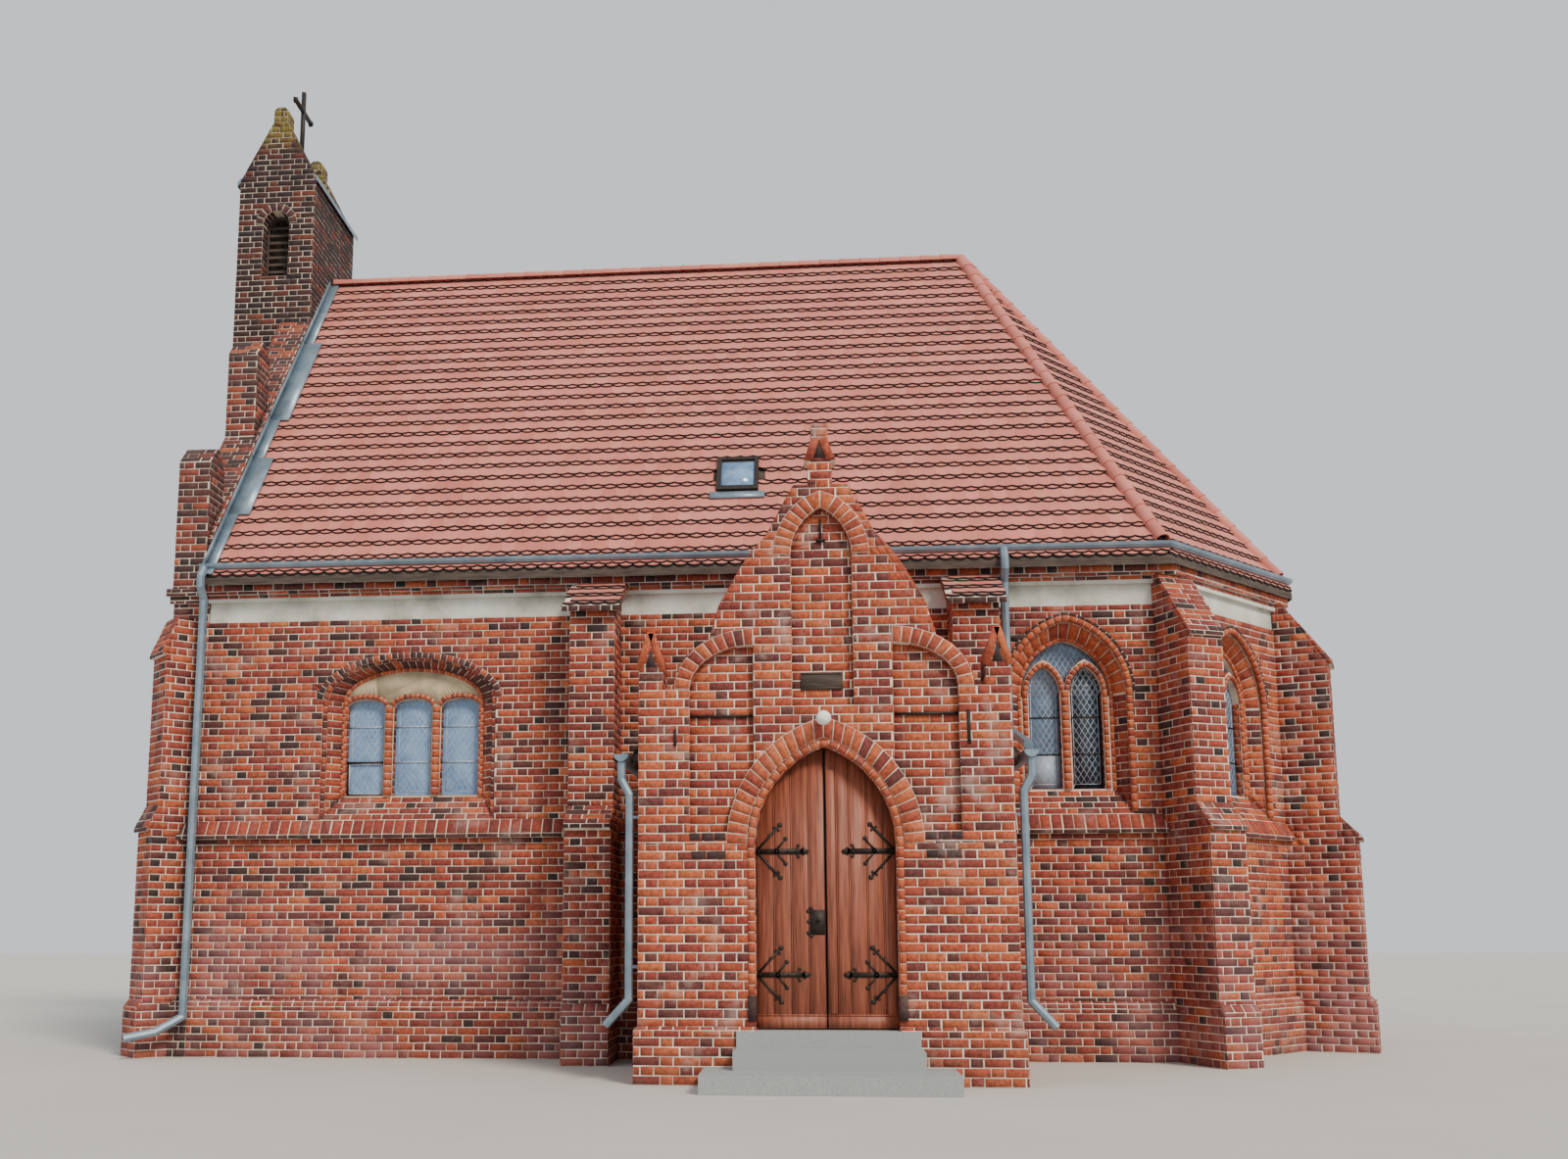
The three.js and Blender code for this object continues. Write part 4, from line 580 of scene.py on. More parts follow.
def in_a_recess(place):
    """True for the step and the plate of a window, which moulded bricks and plaster cover"""
    return any(place.out.dot(window.out) > 0.99
               and 0.04 < (window.origin - place.origin).dot(window.out) < 0.30 for _, window in WINDOWS)


# Scaffold pole holes in the south wall: how far along it, and how high
POLE_HOLES = ((13.08, 3.71), (13.09, 2.45))


def lay_cell(stock, place, cell, triangles, shade):
    """One brick in a cell of the bond: whole, or cut to the face's own outline"""
    left, right, foot, top = cell
    edges = [(-1, 0, -left), (1, 0, right), (0, -1, -foot), (0, 1, top)]
    parts = []
    for triangle in triangles:
        if triangle[:, 0].max() > left and triangle[:, 0].min() < right:
            if triangle[:, 1].max() > foot and triangle[:, 1].min() < top:
                part = clipped([tuple(p) for p in triangle], edges)
                if part and area(part) > 2e-5:
                    parts.append(part)
    if not parts:
        return
    every = np.array([p for part in parts for p in part])
    low, high = every.min(0), every.max(0)
    if min(high - low) < SLIVER:
        return
    covered = sum(area(part) for part in parts)
    lift = PROUD + chance.uniform(-0.002, 0.002)
    across, up = (low + high) / 2 if covered > 0.9 * np.prod(high - low) else np.mean(parts[0], axis=0)
    spread = min(high[0] - across, across - low[0]) * 0.85
    spots = [(across, up), (across - spread, up), (across + spread, up),
             (across, low[1] * 0.85 + high[1] * 0.15)]
    tests = [Vector(point) for point in place.put([(*spot, 0.002) for spot in spots])]
    # Left out indoors, over a pole hole, and where another solid covers all of it
    if indoors(tests[0] + place.out * 0.06):
        return
    if any((tests[0] - at(x, 0, z)).length < 0.075 for x, z in POLE_HOLES):
        return
    if all(masonry_tree.ray_cast(point, place.out, 0.03)[0] for point in tests):
        return
    if covered > 0.97 * np.prod(high - low):
        stock.block(place, low[0], high[0], low[1], high[1], SUNK, lift, shade, CHAMFER, HAND_MADE)
    else:
        for part in parts:
            stock.prism(place, part, SUNK, lift, shade)


def lay_face(stock, place, triangles, frieze):
    """A face in alternate stretchers and headers, each course half a bond on from the last"""
    every = np.concatenate(triangles)
    low, high = every.min(0), every.max(0)
    upright = abs(place.out.z) < UPRIGHT
    rise = high[1] - low[1]
    # Upright faces share the building's courses; a slope has whole courses of its own
    if upright:
        first, tall = math.floor(low[1] / COURSE + 0.02), COURSE
        courses = math.ceil(high[1] / COURSE - 0.02) - first
    else:
        first, courses = 0, max(1, round(rise / COURSE)) if rise > 0.30 else 1
        tall = rise / courses
    bond = STRETCHER + HEADER
    narrow = not upright and courses == 1
    lip = upright and rise < LIP
    if lip:
        courses, tall = 1, rise
    for course in range(courses):
        row = first + course
        foot = row * tall if upright and not lip else low[1] + course * tall
        reach = [t for t in triangles if t[:, 1].max() > foot + 0.001 and t[:, 1].min() < foot + tall - 0.001]
        if not reach:
            continue
        if upright and frieze and FRIEZE[0] < foot + tall / 2 < FRIEZE[1]:
            continue
        left = low[0] - (0 if narrow or row % 2 == 0 else bond / 2)
        header = False
        while left < high[0] - 0.01:
            wide = HEADER if header or narrow else STRETCHER
            half = JOINT / 2
            jitter = chance.uniform(-0.004, 0.004)
            edge_left = low[0] if left <= low[0] + 0.001 else left + half + jitter
            edge_right = high[0] if left + wide >= high[0] - 0.001 else left + wide - half + jitter
            gap = 0 if lip else half
            cell = (edge_left, edge_right, foot + gap, foot + tall - gap)
            shade = min(chance.random() + (0.25 if header else 0.0) * chance.random(), 1.0)
            if lip:
                shade = chance.uniform(0.92, 1.0)
            elif narrow:
                shade = chance.uniform(0.35, 0.80)
            lay_cell(stock, place, cell, reach, shade)
            left += wide
            header = not header


for names, material, slot in (
        (NAVE_NODES, brick, "brick"), (APSE_NODES, apse_brick, "brick"),
        (BAY_BUTTRESSES + APSE_BUTTRESSES + WEST_BUTTRESSES, brick, "old_brick"),
        (["west_gable_wall"], gable_brick, "old_brick"), (["bell_tower"], tower_brick, "old_brick"),
        (PORCH_NODES, porch_brick, "porch_brick")):
    for node in names:
        stock = Stock()
        under_eaves = node in NAVE_NODES + APSE_NODES
        for place, triangles in flat_faces(node):
            capped = node in BAY_BUTTRESSES and place.out.z > 0.3 and place.origin.z > CAP_FOOT
            soffit = place.out.z < -UPRIGHT and (under_eaves or place.out.z < -LEVEL)
            if not (capped or soffit or in_a_recess(place)):
                lay_face(stock, place, triangles, under_eaves)
        stock.piece(f"{node}_bricks", material, slot=slot)


# Arches: moulded and cut bricks follow the same lines as the walls
def arch_line(kind, half, springing, rise, steps=14):
    """An arch from its right springing over the top to its left one, as (across, up)"""
    if kind == "basket":
        turns = [math.pi * i / (2 * steps) for i in range(2 * steps + 1)]
        return [(half * math.cos(t), springing + half * rise * math.sin(t)) for t in turns]
    tall = half * rise
    centre = (tall * tall - half * half) / (2 * half)
    radius = half + centre
    turns = [math.acos(centre / radius) * i / steps for i in range(steps + 1)]
    right = [(radius * math.cos(t) - centre, springing + radius * math.sin(t)) for t in turns]
    return right + [(-a, b) for a, b in right[-2::-1]]


def grown(line, by):
    """A line moved outwards, away from the opening"""
    line = np.array(line, float)
    way = np.gradient(line, axis=0)
    way /= np.linalg.norm(way, axis=1)[:, None]
    return [(a + v * by, b - u * by) for (a, b), (u, v) in zip(line, way)]


def moved(line, across):
    return [(a + across, b) for a, b in line]


def deep(line, out):
    return [(a, b, out) for a, b in line]


def in_step(line, other, pitch):
    """Even steps along one line of points, and the same shares of the other"""
    line, other = np.array(line, float), np.array(other, float)
    run = np.concatenate([[0], np.cumsum(np.linalg.norm(np.diff(line, axis=0), axis=1))])
    marks = np.linspace(0, run[-1], max(1, round(run[-1] / pitch)) + 1)
    return [np.stack([np.interp(marks, run, points[:, k]) for k in range(3)], 1) for points in (line, other)]


def lay_ring(stock, bed, place, inner, outer, pitch, lift, shades=(0.0, 1.0)):
    """Bricks on end round an arch, over a bed of mortar"""
    inner, outer = in_step(inner, outer, pitch)
    for i in range(len(inner) - 1):
        bed.tablet(place, [inner[i], inner[i + 1], outer[i + 1], outer[i]], lift * 0.45, 0.5, taper=1.0)
        cut = RING_JOINT / 2 / max(np.linalg.norm(inner[i + 1] - inner[i]), 0.03)
        corners = [line[j] * (1 - cut) + line[k] * cut for line, j, k in (
            (inner, i, i + 1), (inner, i + 1, i), (outer, i + 1, i), (outer, i, i + 1))]
        stock.tablet(place, corners, lift, chance.uniform(*shades))


def lay_roll(stock, bed, place, path, radius, pitch, shades=(0.0, 0.8)):
    """Round moulded bricks end to end along a path, with mortar showing in their joints"""
    points, _ = in_step(path, path, pitch)
    turns = [math.tau * k / 10 for k in range(10)]
    for start, end in zip(points[:-1], points[1:]):
        way = (end - start) / np.linalg.norm(end - start)
        side = np.array((way[1], -way[0], 0))
        out = np.array((0, 0, 1.0))
        for target, size, gap, shade in ((stock, radius, ROLL_JOINT / 2, chance.uniform(*shades)),
                                         (bed, radius * 0.98, 0, 0.5)):
            rings = [[middle + side * size * math.cos(t) + out * size * math.sin(t) for t in turns]
                     for middle in (start + way * gap, end - way * gap)]
            target.loft([place.put(ring) for ring in rings], shade)


def whole_path(line, foot, out):
    """Up the right jamb, over the arch and down the left jamb"""
    return [(line[0][0], foot, out)] + deep(line, out) + [(line[-1][0], foot, out)]


# Leads: a lattice of slim diamonds inside a border
LEAD_WIDE = 0.006
DIAMOND = (0.075, 0.125)


def lay_lattice(stock, place, outline, border=True):
    field = outline
    if border:
        middle = np.mean(outline, axis=0)
        field = [tuple(middle + (np.array(p) - middle) * (0.80, 0.95)) for p in outline]
        for i, point in enumerate(field):
            stock.bar(place, field[i - 1], point, 0.007, GLASS_OUT, GLASS_OUT + 0.004)
            if i % 3 == 0:
                stock.bar(place, point, outline[i], LEAD_WIDE, GLASS_OUT, GLASS_OUT + 0.003)
    edges = edges_of(field)
    low, high = np.min(field, axis=0), np.max(field, axis=0)
    wide, tall = DIAMOND
    lean = (high[1] - low[1]) * wide / tall
    for way in (1, -1):
        for i in range(math.ceil((high[0] - low[0]) / wide + (high[1] - low[1]) / tall) + 1):
            start = low[0] - (lean if way > 0 else 0) + i * wide
            end = start + way * lean
            strip = [(start, low[1]), (start + LEAD_WIDE, low[1]), (end + LEAD_WIDE, high[1]), (end, high[1])]
            part = clipped(strip, edges)
            if part:
                stock.prism(place, part, GLASS_OUT, GLASS_OUT + 0.003)


window_bricks, burnt_rings, window_beds = Stock(), Stock(), Stock()
leads, saddle_bars, tympana = Stock(), Stock(), Stock()


def lay_window(window, place):
    """Rings and rolls from the wall's face inwards, then the heads, shafts and leads of the lights"""
    kind, springing, rise, half = window["kind"], window["springing"], window["rise"], window["light"]
    triple = kind == "basket"
    face, splay, plate = [arch_line(kind, window[part], springing, rise)
                          for part in ("step", "splay", "plate")]
    laid = (window_bricks, window_beds, place)
    rim = (burnt_rings, window_beds, place)
    reveal = (deep(plate, -RECESS), deep(splay, -SPLAY_IN))
    if triple:
        lay_ring(*rim, deep(grown(face, 0.003), FACE_OUT), deep(grown(face, 0.080), FACE_OUT), 0.083, 0.012)
        lay_roll(*rim, whole_path(grown(splay, 0.022), 3.10, -0.036), 0.030, COURSE)
        lay_ring(*rim, *reveal, 0.090, 0.010, (0.0, 0.85))
        lay_roll(*laid, whole_path(grown(plate, -0.020), PLATE_FOOT, ROLLS_OUT), 0.028, COURSE)
        shafts = ((-0.3225, 0.052), (0.3225, 0.052), (-0.922, 0.024), (0.922, 0.024))
    else:
        lay_ring(*rim, deep(grown(face, 0.045), FACE_OUT), deep(grown(face, 0.075), FACE_OUT), 0.105, 0.008,
                 (0.9, 1.0))
        lay_roll(*laid, whole_path(grown(face, 0.002), 3.08, -0.014), 0.042, 0.105)
        lay_ring(*laid, *reveal, 0.120, 0.010, (0.0, 0.9))
        lay_roll(*laid, whole_path(grown(plate, -0.018), PLATE_FOOT, ROLLS_OUT), 0.026, 0.105)
        shafts = ((0, 0.050), (-0.505, 0.032), (0.505, 0.032))
    head = window["light_springing"]
    for across in window["lights"]:
        light = moved(arch_line(kind, half, head, window["light_rise"], 7), across)
        lay_roll(*laid, deep(grown(light, 0.034), HEADS_OUT), 0.032, 0.072, (0.1, 0.95))
        foot = LIGHT_FOOT + 0.01
        lay_lattice(leads, place, light + [(across - half, foot), (across + half, foot)])
        for up in SADDLE_BARS:
            (leads if triple else saddle_bars).bar(place, (across - half, up), (across + half, up), 0.014,
                                                   GLASS_OUT + 0.003, GLASS_OUT + 0.012)
    if not triple:
        lay_lattice(leads, place, arch_line(kind, window["plate"] - 0.03, springing, rise, 8), border=False)
    for across, radius in shafts:
        lay_roll(*laid, [(across, LIGHT_FOOT, SHAFTS_OUT), (across, head, SHAFTS_OUT)], radius, COURSE)


for window, place in WINDOWS:
    lay_window(window, place)

# Plaster over the heads of the three lights, a thin coat on the masonry's own face
for node, (_, window) in (("south_wall_west", WINDOWS[0]), ("north_wall", WINDOWS[-1])):
    for place, triangles in flat_faces(node):
        back = (window.origin - place.origin).dot(window.out)
        if place.out.dot(window.out) > 0.99 and abs(back - RECESS) < 0.01:
            for triangle in triangles:
                if abs(window.flat(place.put([(*triangle.mean(0), 0)]))[0][0]) < 1.0:
                    tympana.prism(place, [tuple(p) for p in triangle], -0.002, 0.004)

# Vent casement at the foot of one light, and the pale and the dark pane of the pointed window
casement, obscured, dim = Stock(), Stock(), Stock()
room, bay = WINDOWS[0][1], WINDOWS[1][1]
for low, high, wide in (((-0.905, 3.395), (-0.385, 3.395), 0.03), ((-0.905, 3.835), (-0.385, 3.835), 0.03),
                        ((-0.893, 3.38), (-0.893, 3.85), 0.026), ((-0.397, 3.38), (-0.397, 3.85), 0.026)):
    casement.bar(room, low, high, wide, GLASS_OUT + 0.004, GLASS_OUT + 0.028)
for low, high in (((-0.875, 3.414), (-0.415, 3.414)), ((-0.875, 3.816), (-0.415, 3.816)),
                  ((-0.873, 3.41), (-0.873, 3.82)), ((-0.417, 3.41), (-0.417, 3.82))):
    leads.bar(room, low, high, 0.012, GLASS_OUT + 0.004, GLASS_OUT + 0.026)
obscured.block(bay, -0.465, -0.065, LIGHT_FOOT, 3.83, GLASS_OUT + 0.001, GLASS_OUT + 0.0025)
right_light = moved(arch_line("pointed", 0.20, 4.65, 1.65, 7), 0.265)
dim.prism(bay, right_light + [(0.065, LIGHT_FOOT), (0.465, LIGHT_FOOT)],
          GLASS_OUT - 0.0003, GLASS_OUT + 0.0002)

# Porch front: the rings of the door, the middle niche and the half arches beside it
front = Place(at(PORCH_X, PORCH_FRONT, 0), (1, 0, 0))
porch_rings, porch_beds, porch_iron, porch_dark = Stock(), Stock(), Stock(), Stock()
DOOR_SPRINGING = 2.51
DOOR_CENTRE = 0.36
FINIAL_X = 1.87
NICHE_BACK = -0.094


def door_line(half, steps=14):
    """The door's pointed arch, or one parallel to it, from right to left"""
    radius = half + DOOR_CENTRE
    turns = [math.acos(DOOR_CENTRE / radius) * i / steps for i in range(steps + 1)]
    right = [(radius * math.cos(t) - DOOR_CENTRE, DOOR_SPRINGING + radius * math.sin(t)) for t in turns]
    return right + [(-a, b) for a, b in right[-2::-1]]


ring = (porch_rings, porch_beds, front)
lay_ring(*ring, deep(door_line(0.835), FACE_OUT), deep(door_line(1.050), FACE_OUT), 0.100, 0.014)
lay_roll(*ring, whole_path(door_line(0.790), 0.92, -0.006), 0.040, 0.110)
for side in (-1, 1):
    porch_dark.block(front, side * 0.79 - 0.048, side * 0.79 + 0.048, 0.66, 0.92, -0.03, 0.030, 0.9, 0.006)
niche = arch_line("pointed", 0.335, 5.68, 0.53 / 0.335)
lay_ring(*ring, deep(niche, FACE_OUT), deep(grown(niche, 0.190), FACE_OUT), 0.085, 0.012)
for side in (-1, 1):
    turns = [math.radians(90 * i / 12) for i in range(13)]
    inner, outer = [[(side * (0.75 + wide * math.cos(t)), 4.20 + tall * math.sin(t), FACE_OUT) for t in turns]
                    for wide, tall in ((0.70, 0.48), (0.86, 0.66))]
    lay_ring(*ring, inner, outer, 0.090, 0.012)
    porch_iron.bar(front, (side * 0.75, 3.905), (side * 1.45, 3.905), 0.026, -0.085, -0.055)
    # Two leaning bricks on each shoulder and on the gable's top, with painted shade between them: a dark
    # triangle on the face stands for the opening
    for foot, top in ((1.74, 1.865), (2.0, 1.875)):
        porch_rings.bar(front, (side * foot, 4.42), (side * top, 4.83), 0.075, SUNK, 0.016, chance.random())
    finial = side * FINIAL_X
    porch_dark.prism(front, [(finial - 0.06, 4.45), (finial + 0.06, 4.45), (finial, 4.66)], SUNK, 0.0105, 1.0)
    porch_rings.bar(front, (side * 0.12, 6.76), (side * 0.042, 6.995), 0.09, SUNK, 0.016, chance.random())
# Painted shade for the opening between the gable's top bricks
porch_dark.prism(front, [(-0.062, 6.78), (0.062, 6.78), (0, 6.965)], SUNK, 0.0105, 1.0)
for side in (-1, 1):
    for foot, spans in ((2.548, ((1.06, 1.18), (1.19, 1.32), (1.33, 1.45))),
                        (2.353, ((1.06, 1.26), (1.27, 1.43)))):
        for span in spans:
            left, right = sorted(side * across for across in span)
            porch_dark.block(front, left, right, foot, foot + 0.085, SUNK, 0.010, chance.uniform(0.9, 1.0),
                             CHAMFER, HAND_MADE)
# Wall anchors, the iron in the niche, and the bare plaque over the door
for left, right, foot, top, low, high in (
        (1.525, 1.565, 3.56, 3.93, SUNK, 0.016), (-1.62, -1.585, 3.58, 3.76, SUNK, 0.016),
        (-0.012, 0.012, 5.86, 6.10, NICHE_BACK, -0.06), (-0.05, 0.05, 5.84, 5.87, NICHE_BACK, -0.05)):
    porch_iron.block(front, left, right, foot, top, low, high, chamfer=0.003)
plaque = Stock()
plaque.block(front, -0.24, 0.22, 4.18, 4.38, NICHE_BACK, -0.066, chamfer=0.008)
for up in (4.20, 4.36):
    plaque.bar(front, (-0.22, up), (0.20, up), 0.018, -0.068, -0.060)

# Ring of headers round each bell arch
bells = arch_line("basket", 0.225, 13.28, 1.0)
for y, across in ((3.245, 1), (5.195, -1)):
    tower_face = Place(at(TOWER_X, y, 0), (across, 0, 0))
    lay_ring(burnt_rings, window_beds, tower_face, deep(bells, FACE_OUT), deep(grown(bells, 0.13), FACE_OUT),
             0.085, 0.012, (0.5, 1.0))

# Door leaves: boards with beads between them, a rail at the foot, forged straps and a lock plate
LEAF_FRONT = PORCH_FRONT + 2.794
LEAF_FOOT = 0.572
LEAF_EDGE = 0.742
LEAF_GAP = 0.0045
BOARD_TOP = 3.7
WEST_SEAMS = (LEAF_GAP, 0.178, 0.365, 0.553, 0.745)
EAST_SEAMS = (LEAF_GAP, 0.123, 0.258, 0.445, 0.620, 0.745)
STRAP_HEIGHTS = (2.44, 1.13)


def leaf_outline(side):
    """The leaf's own shape under the pointed arch, counter-clockwise"""
    line = door_line(LEAF_EDGE, 10)[:11]
    outline = [(LEAF_GAP, LEAF_FOOT), (LEAF_EDGE, LEAF_FOOT)] + line[:-1] + [(LEAF_GAP, line[-1][1] - 0.012)]
    return outline if side > 0 else [(-a, b) for a, b in outline[::-1]]


def lay_boards(stock, side, seams):
    edges = edges_of(leaf_outline(side))

    def plank(left, right):
        cell = [(left, LEAF_FOOT), (right, LEAF_FOOT), (right, BOARD_TOP), (left, BOARD_TOP)]
        cell = [(side * a, b) for a, b in cell]
        return clipped(cell if side > 0 else cell[::-1], edges)

    for left, right in zip(seams[:-1], seams[1:]):
        board = plank(left + 0.009, right - 0.009)
        middle = np.mean(board, axis=0)
        face = [tuple(middle + (np.array(p) - middle) * (0.93, 0.998)) for p in board]
        stock.prism(front, board, LEAF_FRONT - 0.002, LEAF_FRONT + 0.006, chance.random(), face)
        if left > LEAF_GAP:
            stock.prism(front, plank(left - 0.006, left + 0.006), LEAF_FRONT - 0.002, LEAF_FRONT + 0.005)
    inner, outer = sorted((side * 0.006, side * LEAF_EDGE))
    stock.block(front, inner, outer, LEAF_FOOT, 0.700, LEAF_FRONT, LEAF_FRONT + 0.018, chamfer=0.004)
    stock.block(front, inner, outer, 0.700, 0.722, LEAF_FRONT, LEAF_FRONT + 0.012, chamfer=0.006)


def lay_strap(stock, side, height):
    """A forged strap: a bar with a spear head, and two pairs of leaning arms with leaf tips"""
    low, high = LEAF_FRONT + 0.004, LEAF_FRONT + 0.0165

    def spot(across, up):
        return (side * across, height + up)

    stock.bar(front, spot(0.741, 0), spot(0.235, 0), 0.052, low, high)
    spear = [spot(0.24, -0.045), spot(0.17, 0), spot(0.24, 0.045), spot(0.27, 0)]
    stock.prism(front, spear if area(spear) > 0 else spear[::-1], low, high)
    for way in (-1, 1):
        for (from_across, from_up), (to_across, to_up), wide in (
                ((0.725, 0.02), (0.50, 0.265), 0.026), ((0.52, 0.02), (0.43, 0.125), 0.022),
                ((0.33, 0.0), (0.29, 0.058), 0.020)):
            stock.bar(front, spot(from_across, from_up * way), spot(to_across, to_up * way), wide,
                      low, high - 0.003)
        for across, up, size in ((0.484, 0.283, 0.030), (0.425, 0.135, 0.026), (0.545, 0.255, 0.016),
                                 (0.29, 0.06, 0.020), (0.50, 0.225, 0.018), (0.60, 0.175, 0.016)):
            stock.disc(front, spot(across, up * way), size, low, high - 0.001)
    for across in (0.71, 0.60, 0.52, 0.40, 0.30):
        stock.disc(front, spot(across, 0), 0.013, high, high + 0.006, many=8)
    stock.disc(front, spot(0.52, 0), 0.040, low, high)


for side, body, seams in ((-1, "west_leaf", WEST_SEAMS), (1, "east_leaf", EAST_SEAMS)):
    boards, straps = Stock(), Stock()
    lay_boards(boards, side, seams)
    if side > 0:
        # Cover strip over the joint of the two leaves
        boards.block(front, 0.012, 0.112, 0.722, 3.32, LEAF_FRONT, LEAF_FRONT + 0.020, chamfer=0.008)
    for height in STRAP_HEIGHTS:
        lay_strap(straps, side, height)
    if side < 0:
        # Lock plate with a knob, and the leaf tips of its edge
        straps.block(front, -0.170, -0.015, 1.555, 1.815, LEAF_FRONT + 0.004, LEAF_FRONT + 0.016,
                     chamfer=0.003)
        straps.disc(front, (-0.085, 1.705), 0.024, LEAF_FRONT + 0.016, LEAF_FRONT + 0.055)
        for across, up in ((-0.16, 1.83), (-0.16, 1.54), (-0.19, 1.80), (-0.19, 1.57), (-0.185, 1.69)):
            straps.disc(front, (across, up), 0.024, LEAF_FRONT + 0.004, LEAF_FRONT + 0.014)
    boards.piece(f"{body}_boards", stained_wood, body, "door_wood")
    straps.piece(f"{body}_straps", iron, body, "iron")

window_bricks.piece("window_moulded_bricks", arch_brick, slot="brick")
burnt_rings.piece("window_header_rings", burnt_brick_and_shade, slot="brick")
window_beds.piece("window_mortar_beds", mortar, slot="brick")
leads.piece("window_leads", lead, slot="leaded_glass")
saddle_bars.piece("window_saddle_bars", iron, slot="iron")
tympana.piece("triple_window_plaster", plaster, slot="brick")
casement.piece("vent_casement_frame", iron, slot="iron")
obscured.piece("obscured_panes", pale_glass, slot="leaded_glass")
dim.piece("dark_light_glass", dark_glass, slot="leaded_glass")
porch_rings.piece("porch_arch_bricks", arch_brick, slot="porch_brick")
porch_beds.piece("porch_mortar_beds", mortar, slot="porch_brick")
# Dark bricks, and the painted shade of the porch's small openings
porch_dark.piece("porch_dark_bricks_and_shade", burnt_brick_and_shade, slot="porch_brick")
porch_iron.piece("porch_anchors_and_ties", iron, slot="iron")
# Scaffold pole holes: no bricks there, and a flat block of painted shade stands for each hole
pole_holes = Stock()
south_face = Place(at(0, 0, 0), (1, 0, 0))
for x, height in POLE_HOLES:
    pole_holes.block(south_face, x - 0.055, x + 0.055, height - 0.045, height + 0.045, SUNK, 0.0012)
pole_holes.piece("scaffold_pole_holes", hollow, slot="brick")
plaque.piece("bare_plaque", grey_wood, slot="dark_wood")


# Roof: plain tiles with round ends, laid double in each row, so that the feet make a chain
def tile_outline(centre, foot, length):
    """A tile's visible part: straight sides and a shallow round foot"""
    half = TILE_WIDE / 2 - 0.0004
    turns = [math.radians(25 * i) for i in range(-3, 4)]
    rounded = [(centre + half * math.sin(t) / math.sin(turns[-1]), foot + TILE_ROUND * (1 - math.cos(t)))
               for t in turns]
    return rounded + [(centre + half, foot + length), (centre - half, foot + length)]


def roof_place(start, end, top):
    """A roof plane on its eave from start to end, with the third corner at the top"""
    along = (end - start).normalized()
    slope = (top - start) - along * (top - start).dot(along)
    return Place(start, along, slope)


def lay_tiles(stock, place, outline, skip=None):
    """Rows of tiles on a roof plane, each tile trimmed to the plane's outline"""
    edges = edges_of(outline)
    low, high = np.min(outline, axis=0), np.max(outline, axis=0)
    rows = math.ceil((high[1] - low[1]) / TILE_ROW)
    columns = math.ceil((high[0] - low[0]) / TILE_WIDE) + 1
    for i in range(rows):
        foot = low[1] + i * TILE_ROW
        for layer in (0, 1):
            lift = TILE_LIFT + TILE_THICK * (1 + layer)
            length = TILE_ROW + 0.05 if layer else 0.11
            for j in range(columns):
                centre = low[0] + (j + 0.5 * layer + 0.5 * ((i + 1) % 2)) * TILE_WIDE
                flat = clipped(tile_outline(centre, foot + LAYER_STEP * layer, length), edges)
                if not flat or area(flat) < 6e-4 or (skip and skip(centre, foot + TILE_ROW / 2)):
                    continue
                wobble = chance.uniform(-0.0015, 0.0015)
                points = [(a, b, lift + wobble - (b - foot) * TILE_TILT) for a, b in flat]
                under = [(a, b, c - TILE_THICK) for a, b, c in points]
                # Top corners near the foot move up the slope, so that the foot face in painted shadow leans
                # and shows wider
                points = [(a, b + (FOOT_SHADE_LEAN if b < foot + FOOT_SHADE_REACH else 0), c) for a, b, c in points]
                many = len(flat)
                ring = np.arange(many)
                after = np.roll(ring, -1)
                sides = np.stack([ring, after, after + many, ring + many], 1)
                # The side faces take shade 1.0: painted shadow at each foot
                stock.add(place.put(under + points), [sides], 1.0)
                stock.add(place.put(points), [[ring]], chance.random() * 0.9)


def north(point):
    return (point[0], NAVE_WIDTH - point[1])


apex = at(RIDGE_END, MIDDLE, RIDGE_Z)
verge = GABLE_WALL + 0.05
eaves = [(verge, -EAVE_OUT), SOUTH_BEND, SOUTHEAST, north(SOUTHEAST), north(SOUTH_BEND),
         (verge, NAVE_WIDTH + EAVE_OUT)]
corners = [at(x, y, EAVE_Z) for x, y in eaves]
ridge_west = at(verge, MIDDLE, RIDGE_Z)


def tile_plane(stock, start, end, tops, skip=None):
    """Tiles on the roof plane over one eave, up to its top corners"""
    place = roof_place(start, end, tops[0])
    outline = [tuple(p) for p in place.flat([start, end, *tops])]
    lay_tiles(stock, place, outline, skip=skip)


def skylight_room(across, up):
    """True where the skylight stands in the south roof"""
    x = across + verge
    return 7.30 < x < 7.98 and 1.50 < up < 2.36


for name, planes in (
        ("south_roof_tiles", [(corners[0], corners[1], [apex, ridge_west], skylight_room)]),
        ("north_roof_tiles", [(corners[4], corners[5], [ridge_west, apex])]),
        ("apse_roof_tiles", [(start, end, [apex]) for start, end in zip(corners[1:4], corners[2:5])])):
    stock = Stock()
    for plane in planes:
        tile_plane(stock, *plane)
    stock.piece(name, tile, slot="roof_tile")


def tile_tops(stock, names, above):
    """Tiles on every sloping top face of these nodes above a height"""
    for node in names:
        for place, triangles in flat_faces(node):
            if place.out.z > 0.3 and place.origin.z > above:
                every = np.concatenate(triangles)
                (left, foot), (right, top) = every.min(0), every.max(0)
                lay_tiles(stock, place, [(left, foot), (right, foot), (right, top), (left, top)])


for name, nodes, above in (("buttress_cap_tiles", BAY_BUTTRESSES, CAP_FOOT),
                           ("porch_roof_tiles", ["porch_roof"], 3.3)):
    stock = Stock()
    tile_tops(stock, nodes, above)
    stock.piece(name, tile, slot="roof_tile")

